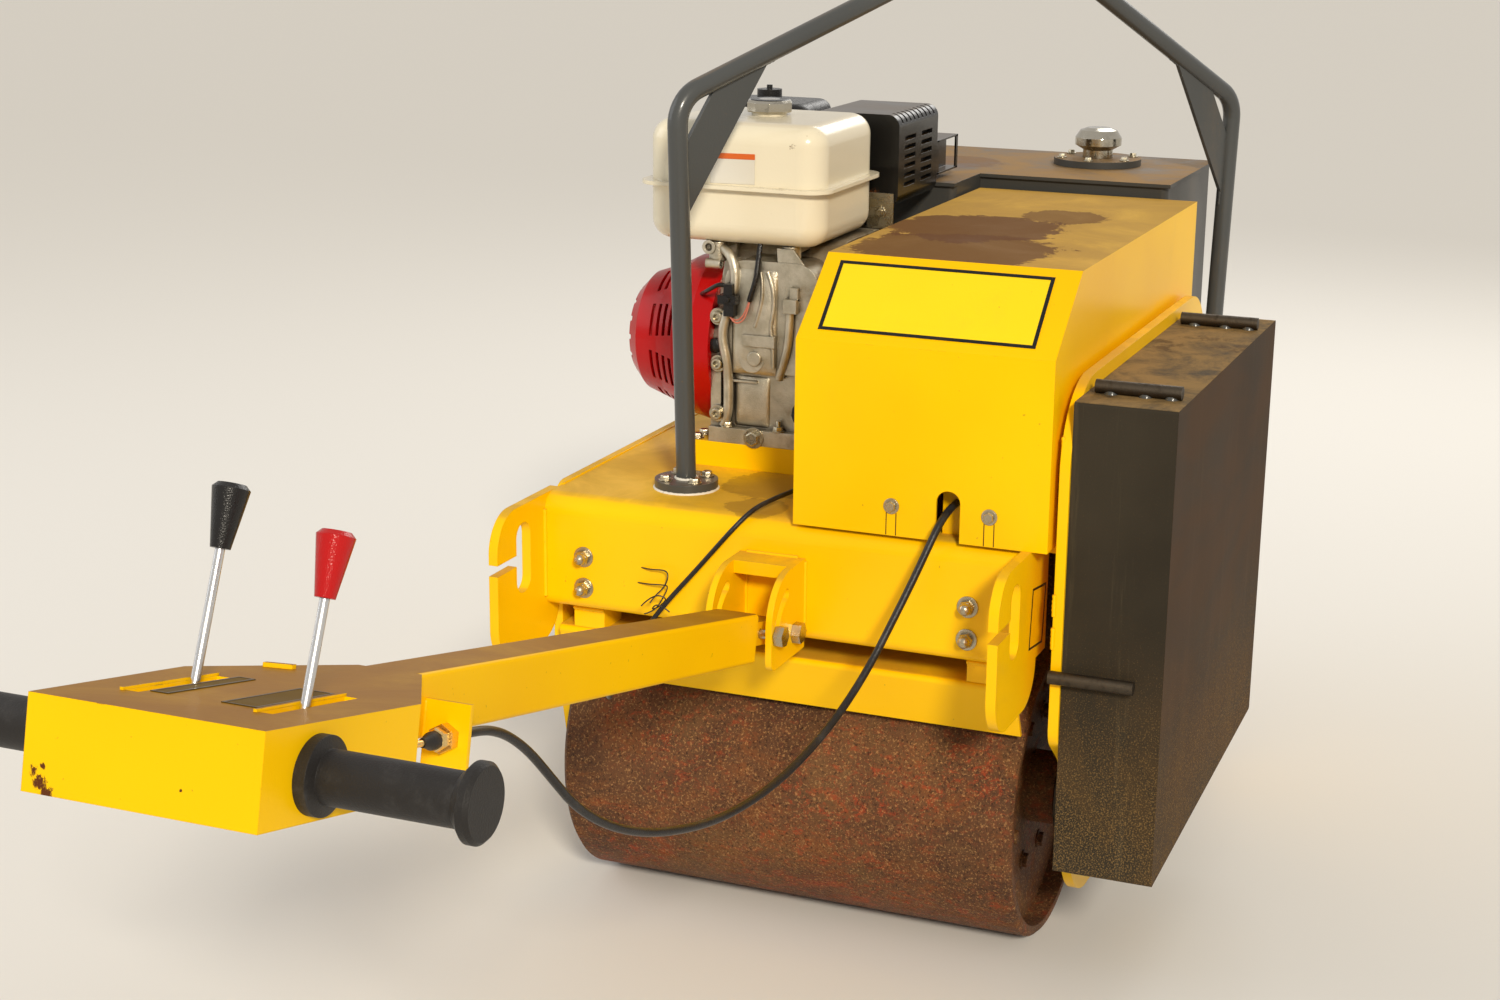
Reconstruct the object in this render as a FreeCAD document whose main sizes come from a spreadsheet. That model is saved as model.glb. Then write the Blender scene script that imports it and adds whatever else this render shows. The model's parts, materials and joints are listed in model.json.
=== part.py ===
"""Walk-behind road roller with two drums, built as a parametric document.

Millimetres. X points forwards, away from the operator, Y to the left and Z up.
The origin is on the ground, midway between the axles of the two drums.
"""
import FreeCAD, Part
import math
import os
import re

import Sketcher
from FreeCAD import Placement, Rotation, Vector

doc = FreeCAD.newDocument("road_roller")
sheet = doc.addObject("Spreadsheet::Sheet", "sizes")

SIZES = {
    # drums and their axles
    "drum_radius": 190,
    "drum_width": 600,
    "drum_wall": 14,
    "drum_edge": 5,
    "drum_recess": 26,
    "drum_web": 10,
    "hub_radius": 46,
    "hub_stand": 12,
    "axle_radius": 25,
    "running_gap": 0.3,
    "wheelbase": 600,
    # deck, a folded sheet whose ends are the two cross beams
    "drum_side_gap": 6,
    "deck_rise": 184,
    "deck_sheet": 10,
    "beam_height": 144,
    "beam_overhang": 221,
    "beam_bend": 24,
    "beam_return": 50,
    # side plates with an arm down to each axle
    "plate_sheet": 12,
    "right_gap": 39,
    "plate_setback": 8,
    "skirt_drop": 86,
    "arm_root_half": 160,
    "arm_root_rise": 102,
    "arm_half": 107,
    "arm_bend": 30,
    "arm_end": 96,
    "raised_height": 194,
    "raised_past": 7,
    "raised_bend": 99,
    "bridge_sheet": 10,
    "bridge_clear": 1,
    "bearing_radius": 62,
    "bearing_flange": 9,
    "bearing_boss_radius": 42,
    "bearing_boss": 20,
    "bearing_round": 4,
    "bearing_cap_radius": 30,
    "bearing_depth": 27,
    "bearing_clear": 5,
    # tie-down hooks on the ends of the cross beams
    "hook_reach": 124,
    "hook_overlap": 40,
    "hook_height": 190,
    "hook_sheet": 12,
    "hook_bend": 48,
    "slot_inset": 49,
    "slot_width": 37,
    "slot_height": 89,
    "slot_drop": 67,
    "slot_mouth": 14,
    # scrapers
    "scraper_sheet": 6,
    "scraper_gap": 33,
    "scraper_drop": 70,
    "scraper_lip_out": 166,
    "scraper_bend_out": 198,
    "scraper_flange": 82,
    "tab_width": 42,
    "tab_inset": 20,
    "tab_depth": 50,
    # clevis that carries the handle
    "ear_gap": 68,
    "ear_sheet": 8,
    "ear_reach": 107,
    "ear_drop": 41,
    "ear_below": 8,
    "ear_foot_bend": 14,
    "ear_bend": 60,
    "clevis_web": 16,
    "clevis_web_reach": 40,
    "pivot_inset": 34,
    "pivot_drop": 123,
    "pivot_radius": 10,
    "stop_radius": 6,
    "stop_reach": 60,
    "slot_clearance": 1,
    "handle_rise": 12.9,
    "handle_lift": 52,
    "nut_radius": 13,
    "nut_height": 11,
    "side_play": 0.6,
    # handle
    "beam_half_width": 28,
    "beam_above": 25,
    "beam_below": 33,
    "beam_corner": 5,
    "beam_wall": 4,
    "beam_start": 86,
    "lug_half": 22,
    "lug_radius": 14,
    "box_back": 1226,
    "box_flank": 206,
    "box_taper": 141,
    "box_back_half": 102,
    "box_shoulder_half": 110,
    "box_front_half": 31,
    "box_depth": 74,
    "box_sheet": 4,
    "lever_inset": 128,
    "lever_side": 59,
    "lever_radius": 4,
    "lever_rod_left": 104,
    "lever_rod_right": 81,
    "lever_step": 14,
    "lever_lean": 10.5,
    "lever_lug_half": 26,
    "lever_lug_sheet": 10,
    "lever_lug_rise": 12,
    "knob_length": 52,
    "knob_foot_radius": 8.2,
    "knob_top_radius": 15.5,
    "knob_round": 4,
    "lever_shaft_radius": 6,
    "lever_shaft_sink": 30,
    "shaft_play": 1,
    "gate_front": 58,
    "gate_back": 62,
    "gate_half": 6,
    "grip_inset": 68,
    "grip_sink": 14,
    "grip_radius": 21,
    "grip_flange": 30.5,
    "grip_length": 140,
    "grip_flange_depth": 9,
    "grip_round": 3,
    "grip_root": 5,
    "bracket_setback": 16,
    "bracket_width": 44,
    "bracket_height": 62,
    "bracket_sheet": 5,
    "bracket_top": 3,
    "gland_radius": 13,
    "gland_stem_radius": 8,
    "gland_length": 40,
    "gland_side": 51,
    "gland_drop": 28,
    "gland_wire": 90,
    # drive housing
    "housing_clear": 8,
    "housing_width": 312,
    "housing_wall": 225,
    "housing_slope": 86,
    "housing_slant": 105,
    "housing_sheet": 4,
    "cable_slot_inset": 120,
    "cable_slot_width": 29,
    "cable_slot_height": 61,
    "cable_stop_inset": 35,
    "cable_stop_width": 34,
    "cable_stop_height": 56,
    # guard on the right side and the bars welded round it
    "guard_setback": 13,
    "guard_length": 589,
    "guard_width": 119,
    "guard_low": 5,
    "guard_slant": 25,
    "guard_drop": 16,
    "guard_edge": 4,
    "bar_radius": 8,
    "bar_length": 100,
    "bar_setback": 71,
    "bar_front": 0,
    "bar_out": 10,
    "bar_drop": 3,
    # hydraulic oil tank
    "oil_height": 329,
    "oil_setback": 6,
    "oil_length": 290,
    "oil_gap": 22,
    "oil_inset": 16,
    "oil_width": 440,
    "oil_arm_gap": 20,
    "oil_arm_clear": 6,
    "oil_edge": 10,
    "oil_flange_radius": 64,
    "oil_flange_depth": 10,
    "oil_cap_inset": 175,
    "oil_cap_side": 145,
    "oil_cap_radius": 34,
    "oil_cap_height": 44,
    "oil_neck_radius": 22,
    "oil_neck_height": 12,
    "oil_cap_edge": 7,
    "oil_lid_sheet": 5,
    "oil_lid_out": 5,
    # lifting hoop
    "hoop_radius": 12.5,
    "hoop_setback": 102,
    "hoop_inset": 148,
    "hoop_left_rise": 484,
    "hoop_right_rise": 430,
    "hoop_top_rise": 651,
    "hoop_lean": 16,
    "hoop_bar_start": 455,
    "hoop_bar_length": 135,
    "hoop_bend": 45,
    "hoop_stand": 0.6,
    "hoop_foot_radius": 40,
    "hoop_foot_depth": 12,
    "gusset_sheet": 6,
    "gusset_near": 68,
    "gusset_far": 155,
    # engine: crankshaft across the machine, starter on the left
    "engine_setback": 321,
    "engine_clear": 45,
    "rail_height": 33,
    "rail_out": 35,
    "rail_width": 50,
    "crank_rise": 118,
    "case_behind": 107,
    "case_ahead": 105,
    "case_width": 156,
    "case_height": 259,
    "case_edge": 14,
    "case_slope": 70,
    "case_shoulder": 30,
    "case_wall": 120,
    "cover_right": 10,
    "cover_left": 137,
    "cover_low": 95,
    "cover_drop": 20,
    "cover_corner": 30,
    "cover_out": 8,
    "cover_boss_radius": 17,
    "cover_boss_side": 98,
    "cover_boss_rise": 112,
    "cover_boss_depth": 5,
    "flange_sheet": 14,
    "flange_out": 7,
    "bolt_boss_radius": 11,
    "bolt_boss_reach": 30,
    "bolt_boss_low": 37,
    "bolt_boss_mid": 103,
    "bolt_boss_high": 164,
    "ear_post_radius": 12,
    "ear_post_length": 24,
    "ear_arm_half": 7,
    "ear_arm_height": 10,
    "ear_post_inset": 20,
    "ear_post_left": 152,
    "ear_post_right": 52,
    "head_sink": 10,
    "head_rise": 25,
    "foot_height": 20,
    "head_tilt": 25,
    "head_length": 130,
    "head_size": 128,
    "fin_count": 9,
    "fin_sheet": 3,
    "fin_reach": 12,
    "shroud_radius": 112,
    "shroud_depth": 82,
    "starter_radius": 86,
    "starter_depth": 52,
    "starter_step": 6,
    "starter_round": 24,
    "vent_rows": 4,
    "vent_pitch": 11,
    "vent_slot": 5,
    "vent_half": 21,
    "vent_depth": 12,
    "vent_first": 56,
    "vent_groups": 9,
    "face_vent_count": 16,
    "face_vent_in": 30,
    "face_vent_out": 66,
    "face_vent_half": 3.5,
    "face_vent_depth": 8,
    "pto_radius": 38,
    # fuel tank
    "fuel_out": 5,
    "fuel_width": 258,
    "fuel_behind": 125,
    "fuel_length": 230,
    "fuel_lower": 73,
    "fuel_height": 153,
    "fuel_lip": 10,
    "fuel_corner": 32,
    "fuel_round": 26,
    "fuel_neck_radius": 23,
    "fuel_neck_height": 4,
    "fuel_cap_radius": 28,
    "fuel_cap_height": 16,
    "fuel_cap_edge": 4,
    "fuel_cap_side": 119,
    # muffler and air cleaner
    "muffler_ahead": 15,
    "muffler_length": 165,
    "muffler_out": 17,
    "muffler_width": 127,
    "muffler_rise": 285,
    "muffler_height": 121,
    "muffler_edge": 16,
    "louvre_depth": 8,
    "louvre_rows": 6,
    "louvre_height": 6,
    "louvre_length": 46,
    "louvre_margin": 24,
    "top_slot_count": 9,
    "top_slot_half": 2.5,
    "top_slot_depth": 12,
    "muffler_port_side": 90,
    "cleaner_ahead": 15,
    "cleaner_length": 120,
    "cleaner_gap": 6,
    "cleaner_width": 150,
    "cleaner_rise": 300,
    "cleaner_height": 112,
    "cleaner_edge": 24,
    "wing_radius": 17,
    "wing_height": 11,
    "wing_stem_radius": 4,
    "wing_stand": 3,
    "cleaner_band": 10,
    "cleaner_band_out": 3,
    "cleaner_band_rise": 22,
    "inlet_side": 13,
    "port_ahead": 60,
    "port_rise": 203,
    "port_radius": 12,
    # cables
    "main_cable_radius": 4.5,
    "thin_cable_radius": 3,
}

PLACES = {
    # deck and side plates, from the drums
    "deck_end": "wheelbase / 2 + beam_overhang",
    "deck_half": "drum_width / 2 + drum_side_gap",
    "deck_top": "2 * drum_radius + deck_rise",
    "beam_bottom": "deck_top - beam_height",
    "right_inner": "-deck_half - right_gap",
    "right_outer": "right_inner - plate_sheet",
    "skirt_top": "beam_bottom - skirt_drop",
    "arm_root_z": "drum_radius + arm_root_rise",
    "raised_top": "deck_top + raised_height",
    "raised_end": "housing_front + raised_past",
    "bridge_half": "deck_end - hook_overlap - bridge_clear",
    "scraper_top": "beam_bottom - scraper_gap",
    "scraper_half": "drum_width / 2",
    # clevis and handle; the handle is drawn along -X from its pivot
    "ear_bottom": "beam_bottom - ear_below",
    "pivot_x": "-deck_end - pivot_inset",
    "pivot_z": "deck_top - pivot_drop",
    "box_shoulder": "box_back - box_flank",
    "box_front": "box_shoulder - box_taper",
    "lever_at": "box_back - lever_inset",
    "lever_shaft_z": "beam_above - lever_shaft_sink",
    "grip_at": "box_back - grip_inset",
    "bracket_at": "box_front - bracket_setback",
    # housing and guard, from the right side plate
    "housing_right": "right_inner + housing_clear",
    "housing_left": "housing_right + housing_width",
    "housing_front": "oil_back - oil_gap",
    "housing_bend_z": "deck_top + housing_wall",
    "housing_top": "housing_bend_z + housing_slope",
    "cable_slot_y": "housing_right + cable_slot_inset",
    "guard_back": "-deck_end + guard_setback",
    "guard_front": "guard_back + guard_length",
    "guard_bottom": "drum_radius + guard_low",
    "guard_top": "raised_top - guard_drop",
    "bar_back": "-deck_end + bar_setback",
    "bar_low_z": "beam_bottom - bar_drop",
    # oil tank, from the deck's front edge; its arm ends behind the muffler
    "oil_front": "deck_end - oil_setback",
    "oil_back": "oil_front - oil_length",
    "oil_right": "-deck_half + oil_inset",
    "oil_left": "oil_right + oil_width",
    "oil_top": "deck_top + oil_height",
    "oil_arm_back": "muffler_front + oil_arm_gap",
    "oil_arm_right": "housing_left + oil_arm_clear",
    "oil_cap_x": "oil_back + oil_cap_inset",
    "oil_cap_y": "oil_right + oil_cap_side",
    # engine, from the deck's rear edge and the housing
    "crank_x": "-deck_end + engine_setback",
    "crank_z": "engine_rail_z + crank_rise",
    "engine_rail_z": "deck_top + rail_height",
    "case_back": "crank_x - case_behind",
    "case_front": "crank_x + case_ahead",
    "case_right": "housing_left + engine_clear",
    "case_left": "case_right + case_width",
    "case_top": "engine_rail_z + case_height",
    "fuel_back": "crank_x - fuel_behind",
    "fuel_right": "case_right - fuel_out",
    "fuel_left": "fuel_right + fuel_width",
    "fuel_seam": "case_top + fuel_lower",
    "fuel_top": "case_top + fuel_height",
    "fuel_cap_y": "case_right + fuel_cap_side",
    "muffler_back": "case_front + muffler_ahead",
    "muffler_front": "muffler_back + muffler_length",
    "muffler_right": "case_right - muffler_out",
    "muffler_left": "muffler_right + muffler_width",
    "muffler_bottom": "engine_rail_z + muffler_rise",
    "muffler_top": "muffler_bottom + muffler_height",
    "cleaner_back": "case_front + cleaner_ahead",
    "cleaner_front": "cleaner_back + cleaner_length",
    "cleaner_right": "muffler_left + cleaner_gap",
    "cleaner_left": "cleaner_right + cleaner_width",
    "cleaner_bottom": "engine_rail_z + cleaner_rise",
    "cleaner_top": "cleaner_bottom + cleaner_height",
    "port_x": "case_front + port_ahead",
    "port_low": "engine_rail_z + port_rise",
}

for row, (word, value) in enumerate(SIZES.items(), start=1):
    sheet.set("A%d" % row, word)
    sheet.set("B%d" % row, str(value))
    sheet.setAlias("B%d" % row, word)
doc.recompute()

PIECES = {}
X_AXIS = Vector(1, 0, 0)
Y_AXIS = Vector(0, 1, 0)
Z_AXIS = Vector(0, 0, 1)


def linked(formula):
    """Formula whose words are spelled out as cells of the sheet."""
    def spell(match):
        word = match.group()
        if word in PLACES:
            return "(%s)" % linked(PLACES[word])
        return "sizes." + word if word in SIZES else word
    return re.sub(r"[a-z]\w*", spell, formula)


def size(formula):
    """Value of a formula in millimetres or degrees."""
    return float(sheet.evalExpression(linked(formula)))


def bind(thing, target, formula):
    """Tie a property to a formula."""
    thing.setExpression(target, linked(formula))


def piece(label, thing):
    """Name a finished sub-part."""
    thing.Label = label
    PIECES[label] = thing
    return thing


def place(thing, x="0", y="0", z="0", rotation=None):
    """Put an object at a point given by formulas."""
    if rotation is not None:
        thing.Placement = Placement(Vector(), rotation)
    bind(thing, "Placement.Base.x", x)
    bind(thing, "Placement.Base.y", y)
    bind(thing, "Placement.Base.z", z)
    return thing


def box(name, low, spans):
    """Block from its low corner and its three spans."""
    block = doc.addObject("Part::Box", name)
    for side, span in zip(("Length", "Width", "Height"), spans):
        bind(block, side, span)
    return place(block, *low)


TURNS = {"X": Rotation(Y_AXIS, 90), "Y": Rotation(X_AXIS, -90), "Z": Rotation()}


def cylinder(name, axis, centre, radius, length):
    """Round bar from the centre of its low end along a row axis."""
    bar = doc.addObject("Part::Cylinder", name)
    bind(bar, "Radius", radius)
    bind(bar, "Height", length)
    return place(bar, *centre, rotation=TURNS[axis])


def fuse(name, parts):
    union = doc.addObject("Part::MultiFuse", name)
    union.Shapes = parts
    return union


def cut(name, base, tool):
    rest = doc.addObject("Part::Cut", name)
    rest.Base = base
    rest.Tool = tool
    return rest


def body_of(name):
    return doc.addObject("PartDesign::Body", name)


def plane_of(body, role):
    return next(f for f in body.Origin.OriginFeatures if f.Role == role + "_Plane")


def polygon(body, plane, corners, level):
    """Sketch of straight sides; corners holds two formulas for each point."""
    sketch = body.newObject("Sketcher::SketchObject", body.Name + "_outline")
    sketch.AttachmentSupport = [(plane_of(body, plane), "")]
    sketch.MapMode = "FlatFace"
    bind(sketch, "AttachmentOffset.Base.z", level)
    count = len(corners)
    start = [Vector(50 * math.cos(2 * math.pi * i / count), 50 * math.sin(2 * math.pi * i / count), 0)
             for i in range(count)]
    for i in range(count):
        sketch.addGeometry(Part.LineSegment(start[i], start[(i + 1) % count]))
    for i in range(count):
        sketch.addConstraint(Sketcher.Constraint("Coincident", i, 2, (i + 1) % count, 1))
    for i, corner in enumerate(corners):
        for kind, guess, formula in zip(("DistanceX", "DistanceY"), start[i], corner):
            index = sketch.addConstraint(Sketcher.Constraint(kind, -1, 1, i, 1, guess))
            bind(sketch, "Constraints[%d]" % index, formula)
    return sketch


def span_of(plane, span):
    """Level and depth of a feature that fills span along the plane's normal."""
    low, high = span
    level = "-(%s)" % high if plane == "XZ" else low
    return level, "(%s) - (%s)" % (high, low)


def pad(body, plane, corners, span):
    level, depth = span_of(plane, span)
    feature = body.newObject("PartDesign::Pad", body.Name + "_pad")
    feature.Profile = polygon(body, plane, [c[:2] for c in corners], level)
    bind(feature, "Length", depth)
    body.Tip = feature
    doc.recompute()
    return round_corners(body, feature, feature.Profile[0], corners)


def pocket(body, plane, corners, span):
    """Cut a polygon out of the body; the volume has to fall."""
    before = body.Shape.Volume
    level, depth = span_of(plane, span)
    feature = body.newObject("PartDesign::Pocket", body.Name + "_pocket")
    feature.Profile = polygon(body, plane, [c[:2] for c in corners], level)
    feature.Reversed = True
    bind(feature, "Length", depth)
    body.Tip = feature
    doc.recompute()
    if not feature.Shape.Volume < before:
        raise ValueError("%s removes nothing" % feature.Name)
    return round_corners(body, feature, feature.Profile[0], corners)


def round_corners(body, feature, sketch, corners):
    """Fillet the edges that rise from the corners which give a radius."""
    wanted = {}
    for i, corner in enumerate(corners):
        if len(corner) > 2:
            wanted.setdefault(corner[2], []).append(sketch.getPoint(i, 1))
    back = sketch.Placement.inverse()
    for radius, points in wanted.items():
        names = []
        for number, edge in enumerate(feature.Shape.Edges, start=1):
            if not isinstance(edge.Curve, Part.Line) or len(edge.Vertexes) != 2:
                continue
            ends = [back.multVec(v.Point) for v in edge.Vertexes]
            for point in points:
                if all(math.hypot(e.x - point.x, e.y - point.y) < 1e-4 for e in ends):
                    names.append("Edge%d" % number)
        feature = fillet(body, feature, names, radius)
    return feature


def fillet(body, feature, names, radius):
    rounded = body.newObject("PartDesign::Fillet", body.Name + "_fillet")
    rounded.Base = (feature, names)
    bind(rounded, "Radius", radius)
    body.Tip = rounded
    doc.recompute()
    return rounded


def turned(name, corners):
    """Body of revolution about Z; corners holds radius and height."""
    body = body_of(name)
    feature = body.newObject("PartDesign::Revolution", name + "_turn")
    sketch = polygon(body, "XZ", corners, "0")
    feature.Profile = sketch
    feature.ReferenceAxis = (sketch, ["V_Axis"])
    feature.Angle = 360
    body.Tip = feature
    doc.recompute()
    return body


def repeat_round(body, features, count):
    """Repeat pockets about the body's Z axis."""
    pattern = body.newObject("PartDesign::PolarPattern", body.Name + "_pattern")
    pattern.Originals = features
    pattern.Axis = (next(f for f in body.Origin.OriginFeatures if f.Role == "Z_Axis"), [""])
    pattern.Angle = 360
    bind(pattern, "Occurrences", count)
    body.Tip = pattern
    doc.recompute()


def plate(name, plane, corners, span):
    body = body_of(name)
    pad(body, plane, corners, span)
    return body


def solid(label, shape):
    """Sub-part whose shape is worked out from the sheet's values."""
    thing = doc.addObject("Part::Feature", label)
    thing.Shape = shape
    return piece(label, thing)


def drums():
    """Hollow steel drums with recessed end webs, a hub tube and a through axle."""
    half = "drum_width / 2"
    for end, sign in (("rear", -1), ("front", 1)):
        profile = [
            ("axle_radius + running_gap", "-%s - hub_stand" % half),
            ("hub_radius", "-%s - hub_stand" % half),
            ("hub_radius", "-%s + drum_recess" % half),
            ("drum_radius - drum_wall", "-%s + drum_recess" % half),
            ("drum_radius - drum_wall", "-%s" % half),
            ("drum_radius - drum_edge", "-%s" % half),
            ("drum_radius", "-%s + drum_edge" % half),
            ("drum_radius", "%s - drum_edge" % half),
            ("drum_radius - drum_edge", half),
            ("drum_radius - drum_wall", half),
            ("drum_radius - drum_wall", "%s - drum_recess" % half),
            ("hub_radius", "%s - drum_recess" % half),
            ("hub_radius", "%s - drum_web / 2" % half),
            ("axle_radius + running_gap", "%s - drum_web / 2" % half),
        ]
        drum = turned("drum_" + end, profile)
        hollow = [
            ("hub_radius", "-%s + drum_recess + drum_web" % half),
            ("drum_radius - drum_wall", "-%s + drum_recess + drum_web" % half),
            ("drum_radius - drum_wall", "%s - drum_recess - drum_web" % half),
            ("hub_radius", "%s - drum_recess - drum_web" % half),
        ]
        groove = drum.newObject("PartDesign::Groove", drum.Name + "_hollow")
        sketch = polygon(drum, "XZ", hollow, "0")
        groove.Profile = sketch
        groove.ReferenceAxis = (sketch, ["V_Axis"])
        groove.Angle = 360
        drum.Tip = groove
        place(drum, "%d * wheelbase / 2" % sign, "0", "drum_radius", Rotation(X_AXIS, -90))
        piece("drum_" + end, drum)
        centre = ("%d * wheelbase / 2" % sign, "0", "drum_radius")
        low = (centre[0], "right_outer", centre[2])
        shaft = cylinder("shaft_" + end, "Y", low, "axle_radius",
                         "2 * deck_half + right_gap + 2 * plate_sheet")
        inner = cylinder("bearing_" + end, "Y", (centre[0], "right_inner", centre[2]), "bearing_radius",
                         "right_gap + deck_half - drum_width / 2 - hub_stand - bearing_clear")
        outer = turned("cap_" + end, [
            ("0", "0"), ("bearing_radius", "0"), ("bearing_radius", "bearing_flange"),
            ("bearing_boss_radius + bearing_round", "bearing_flange"), ("bearing_boss_radius", "bearing_boss"),
            ("bearing_cap_radius", "bearing_boss"), ("bearing_cap_radius - bearing_round", "bearing_depth"),
            ("0", "bearing_depth")])
        place(outer, centre[0], "deck_half + plate_sheet", centre[2], TURNS["Y"])
        piece("axle_" + end, fuse("axle_" + end, [shaft, inner, outer]))


def deck():
    """One sheet folded down at both ends, with a lip turned in along each lower edge."""
    corners = []
    for sign in (1, -1):
        face = "%d * (deck_end)" % sign
        back = "%d * (deck_end - deck_sheet)" % sign
        lip = "%d * (deck_end - beam_return)" % sign
        half = [
            (face, "deck_top", "beam_bend"),
            (face, "beam_bottom", "beam_bend - deck_sheet"),
            (lip, "beam_bottom"),
            (lip, "beam_bottom + deck_sheet"),
            (back, "beam_bottom + deck_sheet"),
            (back, "deck_top - deck_sheet", "beam_bend - deck_sheet"),
        ]
        corners += half if sign == 1 else half[::-1]
    piece("deck", plate("deck", "XZ", corners, ("-deck_half", "deck_half")))


def side_plates():
    """Plates with an arm down to each axle; the right one rises beside the housing."""
    def arms(sign):
        axle = "%d * wheelbase / 2" % sign
        steps = [("arm_root_half", "arm_root_z", "arm_bend"), ("arm_half", "drum_radius - arm_half", "arm_end"),
                 ("-arm_half", "drum_radius - arm_half", "arm_end"), ("-arm_root_half", "arm_root_z", "arm_bend")]
        return [("%s + %s" % (axle, x), z, r) for x, z, r in steps]
    edge = "(deck_end - plate_setback)"
    lower = [("-" + edge, "skirt_top", "arm_bend")]
    lower += [c for c in reversed(arms(-1))]
    lower += [c for c in reversed(arms(1))]
    lower += [(edge, "skirt_top", "arm_bend")]
    right = lower + [
        (edge, "deck_top", "arm_bend"),
        ("raised_end", "deck_top", "arm_bend"),
        ("raised_end", "raised_top", "raised_bend"),
        ("-" + edge, "raised_top", "raised_bend"),
    ]
    bored_plate("side_plate_right", right, ("right_outer", "right_inner"))
    inset = "(deck_end - hook_overlap - plate_setback)"
    left = [("-" + inset, "skirt_top", "arm_bend")] + lower[1:-1] + [
        (inset, "skirt_top", "arm_bend"),
        (inset, "deck_top", "arm_bend"),
        ("-" + inset, "deck_top", "arm_bend"),
    ]
    bored_plate("side_plate_left", left, ("deck_half", "deck_half + plate_sheet"))
    piece("side_bridge", box("side_bridge", ("-bridge_half", "right_inner", "deck_top - bridge_sheet"),
                             ("2 * bridge_half", "right_gap", "bridge_sheet")))


def bored_plate(name, outline, span):
    """Side plate with a bore for each axle."""
    blank = plate(name + "_blank", "XZ", outline, span)
    bores = [cylinder(name + "_bore_" + end, "Y", ("%d * wheelbase / 2" % sign, span[0], "drum_radius"),
                      "axle_radius + running_gap", "plate_sheet")
             for end, sign in (("rear", -1), ("front", 1))]
    piece(name, cut(name, blank, fuse(name + "_bores", bores)))


def hooks():
    """C-shaped tie-down plates, their slots open through the outer edge."""
    for end, sign in (("rear", -1), ("front", 1)):
        for side, low in (("left", "deck_half"), ("right", "-deck_half - hook_sheet")):
            name = "hook_%s_%s" % (end, side)
            tip = "%d * (deck_end + hook_reach)" % sign
            root = "%d * (deck_end - hook_overlap)" % sign
            near = "%d * (deck_end + hook_reach - slot_inset)" % sign
            far = "%d * (deck_end + hook_reach - slot_inset - slot_width)" % sign
            outline = [(tip, "deck_top", "hook_bend"), (root, "deck_top"),
                       (root, "deck_top - hook_height", "hook_bend"), (tip, "deck_top - hook_height", "hook_bend")]
            body = plate(name, "XZ", outline, (low, low + " + hook_sheet"))
            middle = "deck_top - slot_drop"
            slot = [(near, middle + " + slot_height / 2", "slot_width / 2.05"),
                    (far, middle + " + slot_height / 2", "slot_width / 2.05"),
                    (far, middle + " - slot_height / 2", "slot_width / 2.05"),
                    (near, middle + " - slot_height / 2", "slot_width / 2.05")]
            pocket(body, "XZ", slot, (low, low + " + hook_sheet"))
            mouth = [(tip, middle + " + slot_mouth / 2"), (near, middle + " + slot_mouth / 2"),
                     (near, middle + " - slot_mouth / 2"), (tip, middle + " - slot_mouth / 2")]
            pocket(body, "XZ", mouth, (low, low + " + hook_sheet"))
            piece(name, body)


def scrapers():
    """Bent blades that hang from the cross beams and keep the drums clean."""
    for end, sign in (("rear", -1), ("front", 1)):
        axle = "%d * (wheelbase / 2 + " % sign
        bend = axle + "scraper_bend_out)"
        lip = axle + "scraper_lip_out)"
        flange = axle + "scraper_bend_out - scraper_flange)"
        low_z = "scraper_top - scraper_drop"
        outline = [
            (bend, "scraper_top", "scraper_sheet"),
            (lip, low_z),
            (axle + "scraper_lip_out - scraper_sheet)", low_z),
            (axle + "scraper_bend_out - scraper_sheet)", "scraper_top - scraper_sheet"),
            (flange, "scraper_top - scraper_sheet"),
            (flange, "scraper_top"),
        ]
        blade = plate("blade_" + end, "XZ", outline, ("-scraper_half", "scraper_half"))
        tabs = []
        outer = axle + "scraper_bend_out - scraper_sheet)"
        corner = outer + " - tab_depth" if sign == 1 else outer
        for side, low in (("left", "scraper_half - tab_inset - tab_width"), ("right", "-scraper_half + tab_inset")):
            tabs.append(box("tab_%s_%s" % (end, side), (corner, low, "scraper_top"),
                            ("tab_depth", "tab_width", "beam_bottom - scraper_top")))
        piece("scraper_" + end, fuse("scraper_" + end, [blade] + tabs))


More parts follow.
